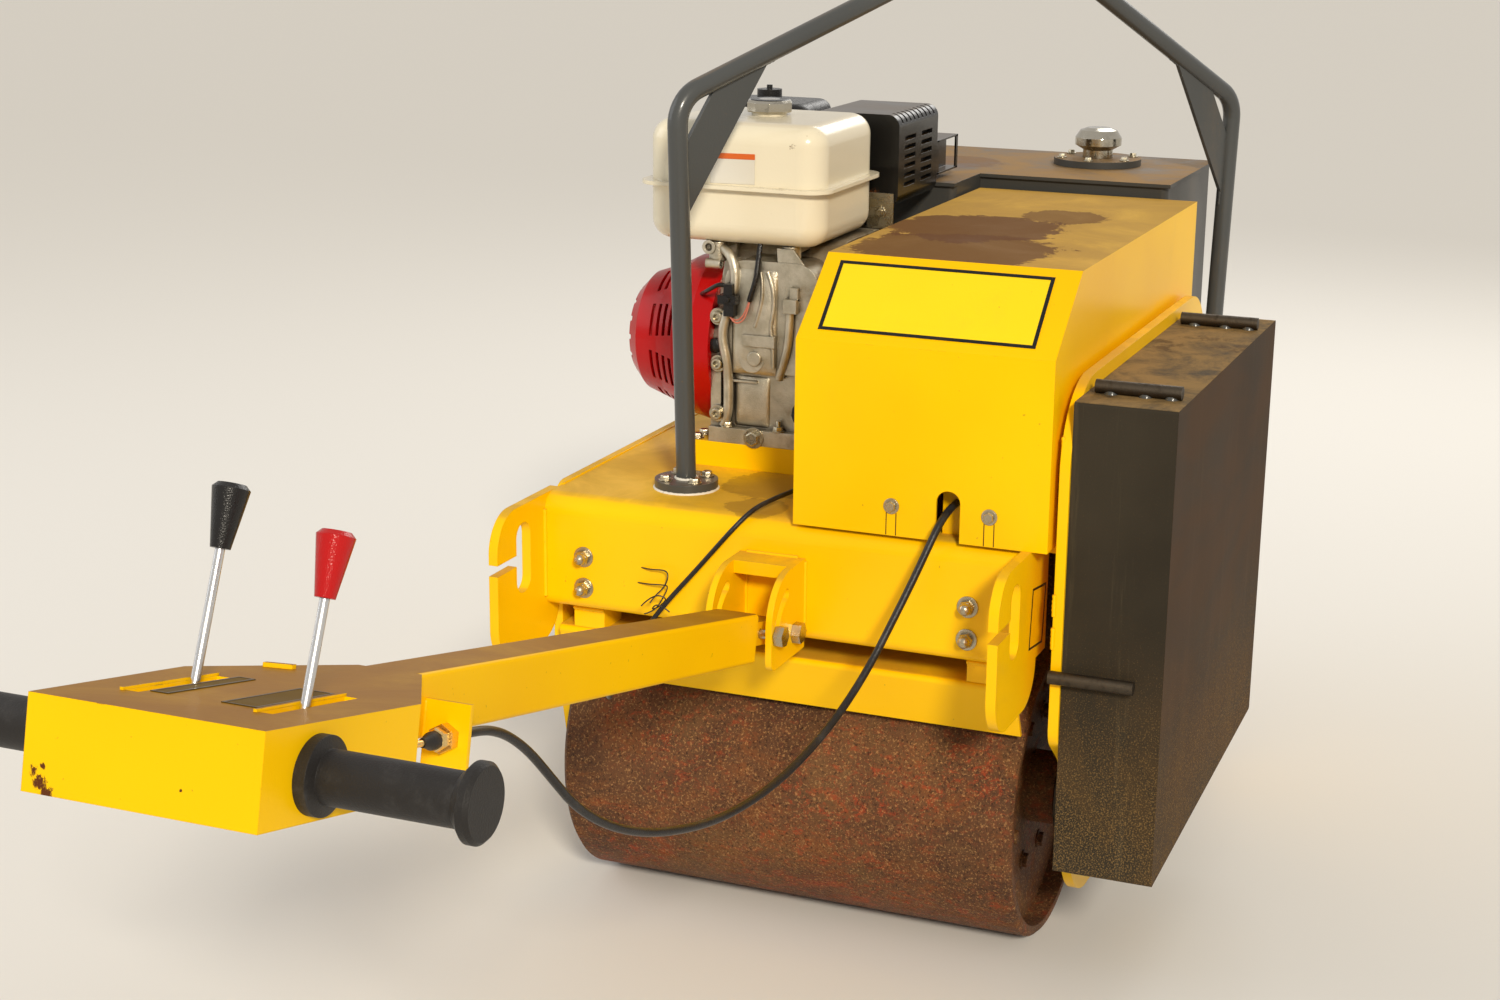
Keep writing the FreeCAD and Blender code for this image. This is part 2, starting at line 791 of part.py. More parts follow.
def clevis():
    """Two ears and a web welded to the rear beam; arc slots limit the handle's swing."""
    tip = "-deck_end - ear_reach"
    top = "deck_top - ear_drop"
    outline = [("-deck_end", top), (tip, top, "ear_bend"), (tip, "ear_bottom", "ear_foot_bend"),
               ("-deck_end", "ear_bottom")]
    pivot = Vector(size("pivot_x"), 0, size("pivot_z"))
    ears = []
    for side, low in (("left", "ear_gap / 2"), ("right", "-ear_gap / 2 - ear_sheet")):
        ears.append(plate("ear_" + side, "XZ", outline, (low, low + " + ear_sheet")))
    web = box("clevis_web_block", ("-deck_end - clevis_web_reach", "-ear_gap / 2", top + " - clevis_web"),
              ("clevis_web_reach", "ear_gap", "clevis_web"))
    slot = doc.addObject("Part::Feature", "swing_slots")
    wide = size("ear_gap") + 4 * size("ear_sheet")
    half = size("stop_radius") + size("slot_clearance")
    reach = size("stop_reach")
    low, high = size("handle_rise"), size("handle_rise") + size("handle_lift")

    def on_arc(radius, angle):
        turn = math.radians(angle)
        return pivot + Vector(-radius * math.cos(turn), -wide / 2, radius * math.sin(turn))

    def bow(radius, start, end):
        return Part.Arc(on_arc(radius, start), on_arc(radius, (start + end) / 2), on_arc(radius, end)).toShape()

    def nose(angle, side):
        tip_point = on_arc(reach, angle + side * math.degrees(half / reach))
        return Part.Arc(on_arc(reach - half, angle), tip_point, on_arc(reach + half, angle)).toShape()

    rim = [bow(reach - half, low, high), nose(high, 1), bow(reach + half, high, low), nose(low, -1)]
    slot.Shape = Part.Face(Part.Wire(Part.__sortEdges__(rim))).extrude(Vector(0, wide, 0))
    bore = cylinder("pivot_bore", "Y", ("pivot_x", "-ear_gap", "pivot_z"), "pivot_radius", "2 * ear_gap")
    whole = fuse("clevis_whole", ears + [web])
    piece("handle_clevis", cut("handle_clevis", cut("clevis_slotted", whole, slot), bore))
    pin = cylinder("pin_shaft", "Y", ("pivot_x", "-ear_gap / 2 - ear_sheet - nut_height", "pivot_z"),
                   "pivot_radius - running_gap", "ear_gap + 2 * ear_sheet + 2 * nut_height")
    nuts = [hex_nut("pin_nut_" + side, ("pivot_x", y, "pivot_z"))
            for side, y in (("left", "ear_gap / 2 + ear_sheet"), ("right", "-ear_gap / 2 - ear_sheet - nut_height"))]
    piece("handle_pin", fuse("handle_pin", [pin] + nuts))


def hex_nut(name, low):
    """Hexagonal nut or bolt head along Y, from the centre of its low face."""
    nut = doc.addObject("Part::Prism", name)
    nut.Polygon = 6
    bind(nut, "Circumradius", "nut_radius")
    bind(nut, "Height", "nut_height")
    return place(nut, *low, rotation=TURNS["Y"])


def on_handle(thing):
    """Tilt a piece drawn along -X from the pivot into the handle's resting place."""
    thing.Placement = Placement(Vector(), Rotation(Y_AXIS, 1))
    bind(thing, "Placement.Rotation.Angle", "handle_rise")
    bind(thing, "Placement.Base.x", "pivot_x")
    bind(thing, "Placement.Base.z", "pivot_z")
    return thing


def handle():
    """Square tube on a lug, with the control box, grips and levers at its end."""
    tube = body_of("handle_tube")
    wide = "beam_half_width"
    outer = [("-" + wide, "-beam_below", "beam_corner"), (wide, "-beam_below", "beam_corner"),
             (wide, "beam_above", "beam_corner"), ("-" + wide, "beam_above", "beam_corner")]
    pad(tube, "YZ", outer, ("-box_front", "-beam_start"))
    narrow = "beam_half_width - beam_wall"
    inner = [("-(%s)" % narrow, "-beam_below + beam_wall"), (narrow, "-beam_below + beam_wall"),
             (narrow, "beam_above - beam_wall"), ("-(%s)" % narrow, "beam_above - beam_wall")]
    pocket(tube, "YZ", inner, ("-box_front", "-beam_start - beam_wall"))
    lug = box("lug_block", ("-beam_start", "-lug_half", "-lug_radius"),
              ("beam_start", "2 * lug_half", "2 * lug_radius"))
    sleeve = cylinder("lug_sleeve", "Y", ("0", "-ear_gap / 2 + side_play", "0"), "lug_radius",
                      "ear_gap - 2 * side_play")
    bore = cylinder("lug_bore", "Y", ("0", "-ear_gap", "0"), "pivot_radius", "2 * ear_gap")
    stop_bore = cylinder("stop_bore", "Y", ("-stop_reach", "-ear_gap", "0"), "stop_radius", "2 * ear_gap")
    whole = fuse("handle_whole", [tube, lug, sleeve])
    drilled = cut("handle_drilled", cut("handle_bored", whole, bore), stop_bore)
    piece("handle_beam", on_handle(drilled))
    bolt = cylinder("stop_shank", "Y", ("-stop_reach", "-ear_gap / 2 - ear_sheet - side_play - nut_height", "0"),
                    "stop_radius - running_gap", "ear_gap + 2 * ear_sheet + 2 * side_play + 2 * nut_height")
    heads = [hex_nut("stop_nut_" + side, ("-stop_reach", y, "0"))
             for side, y in (("left", "ear_gap / 2 + ear_sheet + side_play"),
                             ("right", "-ear_gap / 2 - ear_sheet - side_play - nut_height"))]
    piece("stop_bolt", on_handle(fuse("stop_bolt", [bolt] + heads)))
    control_box()
    levers()
    grips()
    cable_brackets()


COSINE = "cos(handle_rise * 1 deg)"
SINE = "sin(handle_rise * 1 deg)"
BOX_HALF = "(box_back_half + (box_back - %s) / (box_back - box_shoulder) * (box_shoulder_half - box_back_half))"


def box_outline(inset="0"):
    """Plan of the control box: a blunt kite, its sides pulled in by inset."""
    stations = [("box_back - %s" % inset, "box_back_half"), ("box_shoulder", "box_shoulder_half"),
                ("box_front + %s" % inset, "box_front_half")]
    right = [("-(%s)" % s, "-(%s - %s)" % (half, inset)) for s, half in stations]
    left = [("-(%s)" % s, "%s - %s" % (half, inset)) for s, half in reversed(stations)]
    return right + left


def control_box():
    """Folded sheet box, open below, with gates for the two levers."""
    body = body_of("control_box")
    top = "beam_above"
    pad(body, "XY", box_outline(), (top + " - box_depth", top))
    pocket(body, "XY", box_outline("box_sheet"), (top + " - box_depth", top + " - box_sheet"))
    for sign in (1, -1):
        gate = [("-(lever_at + gate_back)", "%d * lever_side - gate_half" % sign),
                ("-(lever_at - gate_front)", "%d * lever_side - gate_half" % sign),
                ("-(lever_at - gate_front)", "%d * lever_side + gate_half" % sign),
                ("-(lever_at + gate_back)", "%d * lever_side + gate_half" % sign)]
        pocket(body, "XY", gate, (top + " - box_sheet", top))
    piece("control_box", on_handle(body))


def levers():
    """Chromed rods on a cross shaft inside the box, each with a tapered knob."""
    shaft_half = BOX_HALF % "lever_at" + " - box_sheet - shaft_play"
    shaft = cylinder("lever_shaft", "Y", ("-lever_at", "-(%s)" % shaft_half, "lever_shaft_z"),
                     "lever_shaft_radius", "2 * (%s)" % shaft_half)
    rods = [shaft]
    for side, sign in (("left", 1), ("right", -1)):
        foot = "(lever_at - %d * lever_step)" % sign
        across = "%d * lever_side" % sign
        rise = "(beam_above + lever_rod_%s - lever_shaft_z)" % side
        rod = cylinder("lever_rod_" + side, "Z", ("-" + foot, across, "lever_shaft_z"),
                       "lever_radius", rise + " / cos(lever_lean * 1 deg)")
        rod.Placement = Placement(Vector(), Rotation(Y_AXIS, 1))
        bind(rod, "Placement.Rotation.Angle", "lever_lean")
        lug = box("lever_lug_" + side, ("-lever_at - lever_lug_half", across + " - lever_lug_sheet / 2",
                                        "lever_shaft_z - lever_lug_rise / 2"),
                  ("2 * lever_lug_half", "lever_lug_sheet", "lever_lug_rise"))
        rods += [rod, lug]
        knob = turned("knob_" + side, [
            ("0", "0"), ("knob_foot_radius", "0"), ("knob_top_radius", "knob_length - knob_round"),
            ("knob_top_radius - knob_round", "knob_length"), ("0", "knob_length")])
        on_handle(knob)
        bind(knob, "Placement.Rotation.Angle", "handle_rise + lever_lean")
        reach, height = "(%s - %s * tan(lever_lean * 1 deg))" % (foot, rise), "(lever_shaft_z + %s)" % rise
        bind(knob, "Placement.Base.x", "pivot_x - %s * %s + %s * %s" % (reach, COSINE, height, SINE))
        bind(knob, "Placement.Base.y", across)
        bind(knob, "Placement.Base.z", "pivot_z + %s * %s + %s * %s" % (reach, SINE, height, COSINE))
        piece("lever_knob_" + side, knob)
    piece("levers", on_handle(fuse("levers", rods)))


def grips():
    """Rubber grips across the machine, their inner flanges against the slanted box sides."""
    half = BOX_HALF % "grip_at"
    for side, sign in (("left", 1), ("right", -1)):
        grip = turned("grip_shape_" + side, [
            ("0", "-grip_root"), ("grip_flange", "-grip_root"), ("grip_flange", "grip_flange_depth"),
            ("grip_radius", "grip_flange_depth + grip_round"), ("grip_radius", "grip_length - 2 * grip_flange_depth"),
            ("grip_flange", "grip_length - grip_flange_depth"), ("grip_flange", "grip_length - grip_round"),
            ("grip_flange - grip_round", "grip_length"), ("0", "grip_length")])
        place(grip, "-grip_at", "%d * %s" % (sign, half), "-grip_sink",
              Rotation(X_AXIS, -90 * sign))
        room = plate("grip_room_" + side, "XY", box_outline(), ("beam_above - box_depth", "beam_above"))
        piece("grip_" + side, on_handle(cut("grip_" + side, grip, room)))


def cable_brackets():
    """Plates on both sides of the handle tube that hold the glands of the two cables."""
    plates = []
    glands = []
    for side, sign in (("left", 1), ("right", -1)):
        low = "beam_half_width" if sign == 1 else "-beam_half_width - bracket_width"
        blank = box("bracket_plate_" + side, ("-bracket_at", low, "bracket_top - bracket_height"),
                    ("bracket_sheet", "bracket_width", "bracket_height"))
        across = "%d * gland_side" % sign
        hole = cylinder("bracket_hole_" + side, "X", ("-bracket_at - bracket_sheet", across, "-gland_drop"),
                        "gland_stem_radius", "3 * bracket_sheet")
        plates.append(cut("bracket_" + side, blank, hole))
        stem = cylinder("gland_stem_" + side, "X", ("-bracket_at - gland_length / 2", across, "-gland_drop"),
                        "gland_stem_radius - running_gap", "gland_length")
        wire = cylinder("gland_wire_" + side, "X", ("-bracket_at - gland_wire", across, "-gland_drop"),
                        "thin_cable_radius", "gland_wire")
        glands += [stem, wire]
        for end, start in (("back", "-bracket_at - nut_height"), ("front", "-bracket_at + bracket_sheet")):
            nut = doc.addObject("Part::Prism", "gland_nut_%s_%s" % (end, side))
            nut.Polygon = 6
            bind(nut, "Circumradius", "gland_radius")
            bind(nut, "Height", "nut_height")
            glands.append(place(nut, start, across, "-gland_drop", rotation=TURNS["X"]))
    piece("cable_brackets", on_handle(fuse("cable_brackets", plates)))
    room = plate("wire_room", "XY", box_outline(), ("beam_above - box_depth", "beam_above"))
    piece("cable_glands", on_handle(cut("cable_glands", fuse("glands_whole", glands), room)))


def housing():
    """Folded drive housing, open below, with a notch for the control cable."""
    body = body_of("drive_housing")
    back, front = "-deck_end", "housing_front"

    def outline(inset):
        return [(back + " + %s" % inset, "deck_top"), (back + " + %s" % inset, "housing_bend_z - %s / 2" % inset),
                (back + " + housing_slant + %s / 3" % inset, "housing_top - %s" % inset),
                (front + " - %s" % inset, "housing_top - %s" % inset), (front + " - %s" % inset, "deck_top")]
    pad(body, "XZ", outline("0"), ("housing_right", "housing_left"))
    pocket(body, "XZ", outline("housing_sheet"),
           ("housing_right + housing_sheet", "housing_left - housing_sheet"))
    middle, half = "cable_slot_y", "cable_slot_width / 2"
    notch = [("%s - %s" % (middle, half), "deck_top"), ("%s + %s" % (middle, half), "deck_top"),
             ("%s + %s" % (middle, half), "deck_top + cable_slot_height", "cable_slot_width / 2.05"),
             ("%s - %s" % (middle, half), "deck_top + cable_slot_height", "cable_slot_width / 2.05")]
    pocket(body, "YZ", notch, (back, back + " + housing_sheet"))
    piece("drive_housing", body)
    piece("cable_stop", box("cable_stop", ("-deck_end + cable_stop_inset", "cable_slot_y - cable_stop_width / 2",
                                           "deck_top"), ("plate_sheet", "cable_stop_width", "cable_stop_height")))


def guard():
    """Closed box on the right side, with three bars welded round it."""
    body = body_of("side_guard")
    right, left = "right_outer - guard_width", "right_outer"
    corners = [("guard_back", "guard_bottom - guard_slant"), ("guard_front", "guard_bottom"),
               ("guard_front", "guard_top"), ("guard_back", "guard_top")]
    pad(body, "XZ", [c + ("guard_edge",) for c in corners], (right, left))
    piece("side_guard", body)
    bars = [cylinder("bar_back", "Y", ("bar_back", "right_outer - bar_out - bar_length", "guard_top + bar_radius"),
                     "bar_radius", "bar_length"),
            cylinder("bar_front", "Y", ("bar_front", "right_outer - bar_out - bar_length", "guard_top + bar_radius"),
                     "bar_radius", "bar_length"),
            cylinder("bar_low", "Y", ("-deck_end + plate_setback - bar_radius", "right_inner - bar_length", "bar_low_z"),
                     "bar_radius", "bar_length")]
    piece("guard_bars", fuse("guard_bars", bars))


def oil_tank():
    """L-shaped hydraulic oil tank on the deck, with a flanged filler."""
    body = body_of("oil_tank")
    corners = [
        ("oil_back", "oil_right", "oil_edge"),
        ("oil_front", "oil_right", "oil_edge"),
        ("oil_front", "oil_left", "oil_edge"),
        ("oil_arm_back", "oil_left", "oil_edge"),
        ("oil_arm_back", "oil_arm_right", "oil_edge"),
        ("oil_back", "oil_arm_right"),
    ]
    pad(body, "XY", corners, ("deck_top", "oil_top - oil_lid_sheet"))
    back = "oil_back - oil_lid_out"
    lid = plate("oil_lid", "XY", [
        (back, "oil_right - oil_lid_out"), ("oil_front + oil_lid_out", "oil_right - oil_lid_out"),
        ("oil_front + oil_lid_out", "oil_left + oil_lid_out"), ("oil_arm_back - oil_lid_out", "oil_left + oil_lid_out"),
        ("oil_arm_back - oil_lid_out", "oil_arm_right"), (back, "oil_arm_right")], ("oil_top - oil_lid_sheet", "oil_top"))
    piece("oil_tank", fuse("oil_tank", [body, lid]))
    centre = ("oil_cap_x", "oil_cap_y", "oil_top")
    piece("oil_flange", cylinder("oil_flange", "Z", centre, "oil_flange_radius", "oil_flange_depth"))
    cap = turned("oil_cap", [
        ("0", "0"), ("oil_neck_radius", "0"), ("oil_neck_radius", "oil_neck_height"),
        ("oil_cap_radius", "oil_neck_height + oil_cap_edge"), ("oil_cap_radius", "oil_cap_height - 2 * oil_cap_edge"),
        ("oil_cap_radius - oil_cap_edge", "oil_cap_height - oil_cap_edge / 2"),
        ("oil_cap_radius / 2", "oil_cap_height"), ("0", "oil_cap_height")])
    piece("oil_cap", place(cap, centre[0], centre[1], "oil_top + oil_flange_depth"))


def rounded_path(points, radii):
    """Runs joined by tangent arcs; radii gives one radius for each inner point."""
    edges = []
    last = points[0]
    for before, point, after, radius in zip(points, points[1:], points[2:], radii):
        into, out = (point - before).normalize(), (after - point).normalize()
        turn = into.getAngle(out)
        back = radius * math.tan(turn / 2)
        start, end = point - into * back, point + out * back
        inward = (out - into).normalize()
        middle = point + inward * (radius / math.cos(turn / 2) - radius)
        edges.append(Part.LineSegment(last, start).toShape())
        edges.append(Part.Arc(start, middle, end).toShape())
        last = end
    edges.append(Part.LineSegment(last, points[-1]).toShape())
    return Part.Wire(edges)


def tube_along(path, radius):
    """Round bar or tube swept along a path."""
    first = path.OrderedEdges[0]
    start, heading = first.valueAt(first.FirstParameter), first.tangentAt(first.FirstParameter)
    ring = Part.Wire(Part.makeCircle(radius, start, heading))
    return path.makePipeShell([ring], True, False)


def hoop():
    """Bent lifting hoop on a foot flange at the left rear and the bridge at the right front."""
    left = Vector(size("-deck_end + hoop_setback"), size("deck_half - hoop_inset"), 0)
    right = Vector(size("deck_end - hoop_setback"), size("-deck_half - right_gap / 2"), 0)
    along = (right - left).normalize()
    span = (right - left).Length

    def at(reach, height):
        return left + along * reach + Vector(0, 0, height)
    floor = size("deck_top")
    points = [
        at(0, floor + size("hoop_foot_depth") / 2),
        at(-size("hoop_lean"), size("deck_top + hoop_left_rise")),
        at(size("hoop_bar_start"), size("deck_top + hoop_top_rise")),
        at(size("hoop_bar_start + hoop_bar_length"), size("deck_top + hoop_top_rise")),
        at(span + size("hoop_lean"), size("deck_top + hoop_right_rise")),
        at(span, floor + size("hoop_stand")),
    ]
    pipe = tube_along(rounded_path(points, [size("hoop_bend")] * 4), size("hoop_radius"))
    foot = Part.makeCylinder(size("hoop_foot_radius"), size("hoop_foot_depth"), at(0, floor))
    parts = [pipe, foot]
    for corner, shoulder, post in ((points[1], points[2], points[0]), (points[4], points[3], points[5])):
        rise, run = (post - corner).normalize(), (shoulder - corner).normalize()
        flat = along.cross(Z_AXIS).normalize() * size("gusset_sheet")
        near, far = size("gusset_near"), size("gusset_far")
        rim = [corner + rise * near, corner + rise * far, corner + run * far, corner + run * near, corner + rise * near]
        face = Part.Face(Part.makePolygon([p - flat * 0.5 for p in rim]))
        parts.append(face.extrude(flat))
    whole = parts[0].multiFuse(parts[1:])
    solid("lifting_hoop", whole.removeSplitter())


def engine():
    """Air-cooled engine: crankcase, inclined finned cylinder, starter cover and fittings."""
    rails = []
    for side, x in (("back", "case_back"), ("front", "case_front - rail_width")):
        rails.append(box("rail_" + side, (x, "case_right - rail_out", "deck_top"),
                         ("rail_width", "case_width + 2 * rail_out", "rail_height")))
    piece("engine_rails", fuse("engine_rails", rails))
    case = body_of("engine_case")
    edge = "case_edge"
    pad(case, "XZ", [
        ("case_back", "engine_rail_z"), ("case_front", "engine_rail_z"),
        ("case_front", "case_top", edge), ("case_back + case_slope", "case_top", "case_shoulder"),
        ("case_back + case_edge", "engine_rail_z + case_wall", "case_shoulder"),
        ("case_back + case_edge", "engine_rail_z + foot_height"),
        ("case_back", "engine_rail_z + foot_height")], ("case_right", "case_left"))
    pto = cylinder("pto_boss", "Y", ("crank_x", "housing_left + running_gap", "crank_z"), "pto_radius",
                   "case_right - housing_left - running_gap")
    flange = plate("case_flange", "XZ", [
        ("case_back + case_edge - flange_out", "engine_rail_z"), ("case_front", "engine_rail_z"),
        ("case_front", "case_top"), ("case_back + case_slope - flange_out", "case_top"),
        ("case_back + case_edge - flange_out", "engine_rail_z + case_wall")],
        ("case_left - flange_sheet", "case_left"))
    panel = plate("case_cover", "YZ", [
        ("case_right + " + y, z, "cover_corner")
        for y, z in (("cover_right", "engine_rail_z + cover_low"), ("cover_left", "engine_rail_z + cover_low"),
                     ("cover_left", "case_top - cover_drop"), ("cover_right", "case_top - cover_drop"))],
        ("case_back + case_edge - cover_out", "case_back + case_slope"))
    boss = cylinder("cover_boss", "X", ("case_back + case_edge - cover_out - cover_boss_depth",
                                        "case_right + cover_boss_side", "engine_rail_z + cover_boss_rise"),
                    "cover_boss_radius", "cover_boss_depth")
    castings = [case, pto, flange, panel, boss]
    for height in ("low", "mid", "high"):
        castings.append(cylinder("bolt_boss_" + height, "X", (
            "case_back + flange_out / 2", "case_left - bolt_boss_radius", "engine_rail_z + bolt_boss_" + height),
            "bolt_boss_radius", "bolt_boss_reach"))
    for side in ("left", "right"):
        across = "case_right + ear_post_" + side
        castings.append(cylinder("ear_post_" + side, "Z", ("case_back + ear_post_inset", across,
                                                           "case_top - ear_post_length"),
                                 "ear_post_radius", "ear_post_length"))
        castings.append(box("ear_arm_" + side, ("case_back + ear_post_inset", across + " - ear_arm_half",
                                                "case_top - ear_arm_height"),
                            ("case_slope", "2 * ear_arm_half", "ear_arm_height")))
    piece("engine_case", fuse("engine_case", castings))
    head_parts = [box("head_core", ("0", "-head_size / 2 + fin_reach", "-head_size / 2 + fin_reach"),
                      ("head_length", "head_size - 2 * fin_reach", "head_size - 2 * fin_reach"))]
    for index in range(int(size("fin_count"))):
        start = "(head_length - fin_sheet) * (1 - %d / fin_count)" % index
        head_parts.append(box("fin_%d" % index, (start, "-head_size / 2", "-head_size / 2"),
                              ("fin_sheet", "head_size", "head_size")))
    head = fuse("head_whole", head_parts)
    tilt_head(head)
    room = box("head_room", ("case_back", "case_right - head_size", "engine_rail_z"),
               ("case_front - case_back", "case_width + 2 * head_size", "case_height + head_size"))
    piece("engine_cylinder", cut("engine_cylinder", head, room))
    cover = turned("starter_cover", [
        ("0", "0"), ("shroud_radius", "0"), ("shroud_radius", "shroud_depth / 3"),
        ("shroud_radius - starter_step", "2 * shroud_depth / 3"),
        ("starter_radius + starter_step", "shroud_depth"),
        ("starter_radius", "shroud_depth + starter_depth / 3"),
        ("starter_radius - starter_step", "shroud_depth + 2 * starter_depth / 3"),
        ("starter_radius - starter_round", "shroud_depth + starter_depth"), ("0", "shroud_depth + starter_depth")])
    vents = []
    for row in range(int(size("vent_rows"))):
        low, inner = "vent_first + %d * vent_pitch" % row, "starter_radius + starter_step - vent_depth"
        vents.append(pocket(cover, "XZ", [
            (inner, low), ("shroud_radius", low), ("shroud_radius", low + " + vent_slot"),
            (inner, low + " + vent_slot")], ("-vent_half", "vent_half")))
    repeat_round(cover, vents, "vent_groups")
    face = "shroud_depth + starter_depth"
    vent = pocket(cover, "XZ", [
        ("face_vent_in", face + " - face_vent_depth"), ("face_vent_out", face + " - face_vent_depth"),
        ("face_vent_out", face + " + face_vent_half"), ("face_vent_in", face + " + face_vent_half")],
        ("-face_vent_half", "face_vent_half"))
    repeat_round(cover, [vent], "face_vent_count")
    place(cover, "crank_x", "case_left", "crank_z", Rotation(X_AXIS, -90))
    piece("starter_cover", cover)


def tilt_head(thing):
    """Lean a piece drawn along X from the crankcase into the cylinder's place."""
    thing.Placement = Placement(Vector(), Rotation(-Y_AXIS, 1))
    bind(thing, "Placement.Rotation.Angle", "head_tilt")
    bind(thing, "Placement.Base.x", "case_front - head_sink")
    bind(thing, "Placement.Base.y", "(case_left + case_right) / 2")
    bind(thing, "Placement.Base.z", "crank_z + head_rise")


def fuel_tank():
    """Pressed fuel tank: two rounded halves joined by a lip, with a round cap."""
    body = body_of("fuel_tank")

    def plan(inset):
        back, front = "fuel_back + %s" % inset, "fuel_back + fuel_length - %s" % inset
        right, left = "fuel_right + %s" % inset, "fuel_left - %s" % inset
        return [(back, right, "fuel_corner"), (front, right, "fuel_corner"), (front, left, "fuel_corner"),
                (back, left, "fuel_corner")]
    low = pad(body, "XY", plan("fuel_lip"), ("case_top", "fuel_top"))
    rims = [n for n, e in enumerate(low.Shape.Edges, start=1)
            if abs(e.BoundBox.ZMin - e.BoundBox.ZMax) < 1e-6]
    fillet(body, low, ["Edge%d" % n for n in rims], "fuel_round")
    lip = plate("fuel_lip_plate", "XY", plan("0"), ("fuel_seam - fuel_lip / 4", "fuel_seam + fuel_lip / 4"))
    neck = cylinder("fuel_neck", "Z", ("crank_x", "fuel_cap_y", "fuel_top - fuel_lip"), "fuel_neck_radius",
                    "fuel_lip + fuel_neck_height")
    piece("fuel_tank", fuse("fuel_tank", [body, lip, neck]))
    cap = turned("fuel_cap", [
        ("0", "0"), ("fuel_cap_radius - fuel_cap_edge", "0"), ("fuel_cap_radius", "fuel_cap_edge"),
        ("fuel_cap_radius", "fuel_cap_height - fuel_cap_edge"),
        ("fuel_cap_radius - fuel_cap_edge", "fuel_cap_height"), ("0", "fuel_cap_height")])
    piece("fuel_cap", place(cap, "crank_x", "fuel_cap_y", "fuel_top + fuel_neck_height"))


def muffler():
    """Slotted guard of the exhaust and the cover of the air cleaner beside it."""
    body = plate("muffler_box", "YZ", [
        (y, z, "muffler_edge") for y, z in (("muffler_right", "muffler_bottom"), ("muffler_left", "muffler_bottom"),
                                            ("muffler_left", "muffler_top"), ("muffler_right", "muffler_top"))],
        ("muffler_back", "muffler_front"))
    slots = []
    for row in range(int(size("louvre_rows"))):
        low = "muffler_bottom + louvre_margin + %d * (muffler_height - 2 * louvre_margin) / louvre_rows" % row
        for column in range(2):
            start = "muffler_back + louvre_margin + %d * (louvre_length + louvre_margin)" % column
            slots.append(box("louvre_%d_%d" % (row, column), (start, "muffler_right", low),
                             ("louvre_length", "louvre_depth", "louvre_height")))
    for index in range(int(size("top_slot_count"))):
        middle = "muffler_back + muffler_length * %d / (top_slot_count + 1)" % (index + 1)
        slots.append(box("top_slot_%d" % index, (middle + " - top_slot_half", "muffler_right",
                                                 "muffler_top - top_slot_depth"),
                         ("2 * top_slot_half", "muffler_edge", "top_slot_depth")))
    slotted = cut("muffler_slotted", body, fuse("muffler_slots", slots))
    half = "head_size / 2"
    head = plate("head_space", "YZ", [("-" + half, "-" + half), (half, "-" + half), (half, half), ("-" + half, half)],
                 ("0", "head_length"))
    tilt_head(head)
    port = cylinder("exhaust_port", "Z", ("port_x", "case_right + muffler_port_side", "port_low"), "port_radius",
                    "muffler_bottom - port_low")
    piece("muffler", fuse("muffler", [slotted, cut("exhaust_stub", port, head)]))
    air_cleaner(head)


def air_cleaner(head):
    """Rounded cover on a base with a band round it, closed by a knob on a stud."""
    def plan(out):
        back, front = "cleaner_back - %s" % out, "cleaner_front + %s" % out
        right, left = "cleaner_right - %s" % out, "cleaner_left + %s" % out
        return [(x, y, "cleaner_edge") for x, y in ((back, right), (front, right), (front, left), (back, left))]
    cover = body_of("air_cleaner_cover")
    block = pad(cover, "XY", plan("0"), ("cleaner_bottom", "cleaner_top"))
    top = max(v.Point.z for v in block.Shape.Vertexes)
    rim = [n for n, e in enumerate(block.Shape.Edges, start=1) if abs(e.BoundBox.ZMin - top) < 1e-6]
    fillet(cover, block, ["Edge%d" % n for n in rim], "2 * cleaner_edge / 3")
    band = plate("air_cleaner_band", "XY", plan("cleaner_band_out"),
                 ("cleaner_bottom + cleaner_band_rise", "cleaner_bottom + cleaner_band_rise + cleaner_band"))
    wing = turned("air_cleaner_knob", [
        ("0", "-wing_stand"), ("wing_stem_radius", "-wing_stand"), ("wing_stem_radius", "0"), ("wing_radius", "0"),
        ("wing_radius", "wing_height"), ("wing_stem_radius", "wing_height"),
        ("wing_stem_radius", "1.5 * wing_height"), ("0", "1.5 * wing_height")])
    place(wing, "(cleaner_back + cleaner_front) / 2", "(cleaner_right + cleaner_left) / 2",
          "cleaner_top + wing_stand")
    inlet = cylinder("inlet_port", "Z", ("port_x", "cleaner_right + inlet_side", "port_low"), "port_radius",
                     "cleaner_bottom - port_low")
    piece("air_cleaner", fuse("air_cleaner", [cover, band, wing, cut("inlet_stub", inlet, head)]))


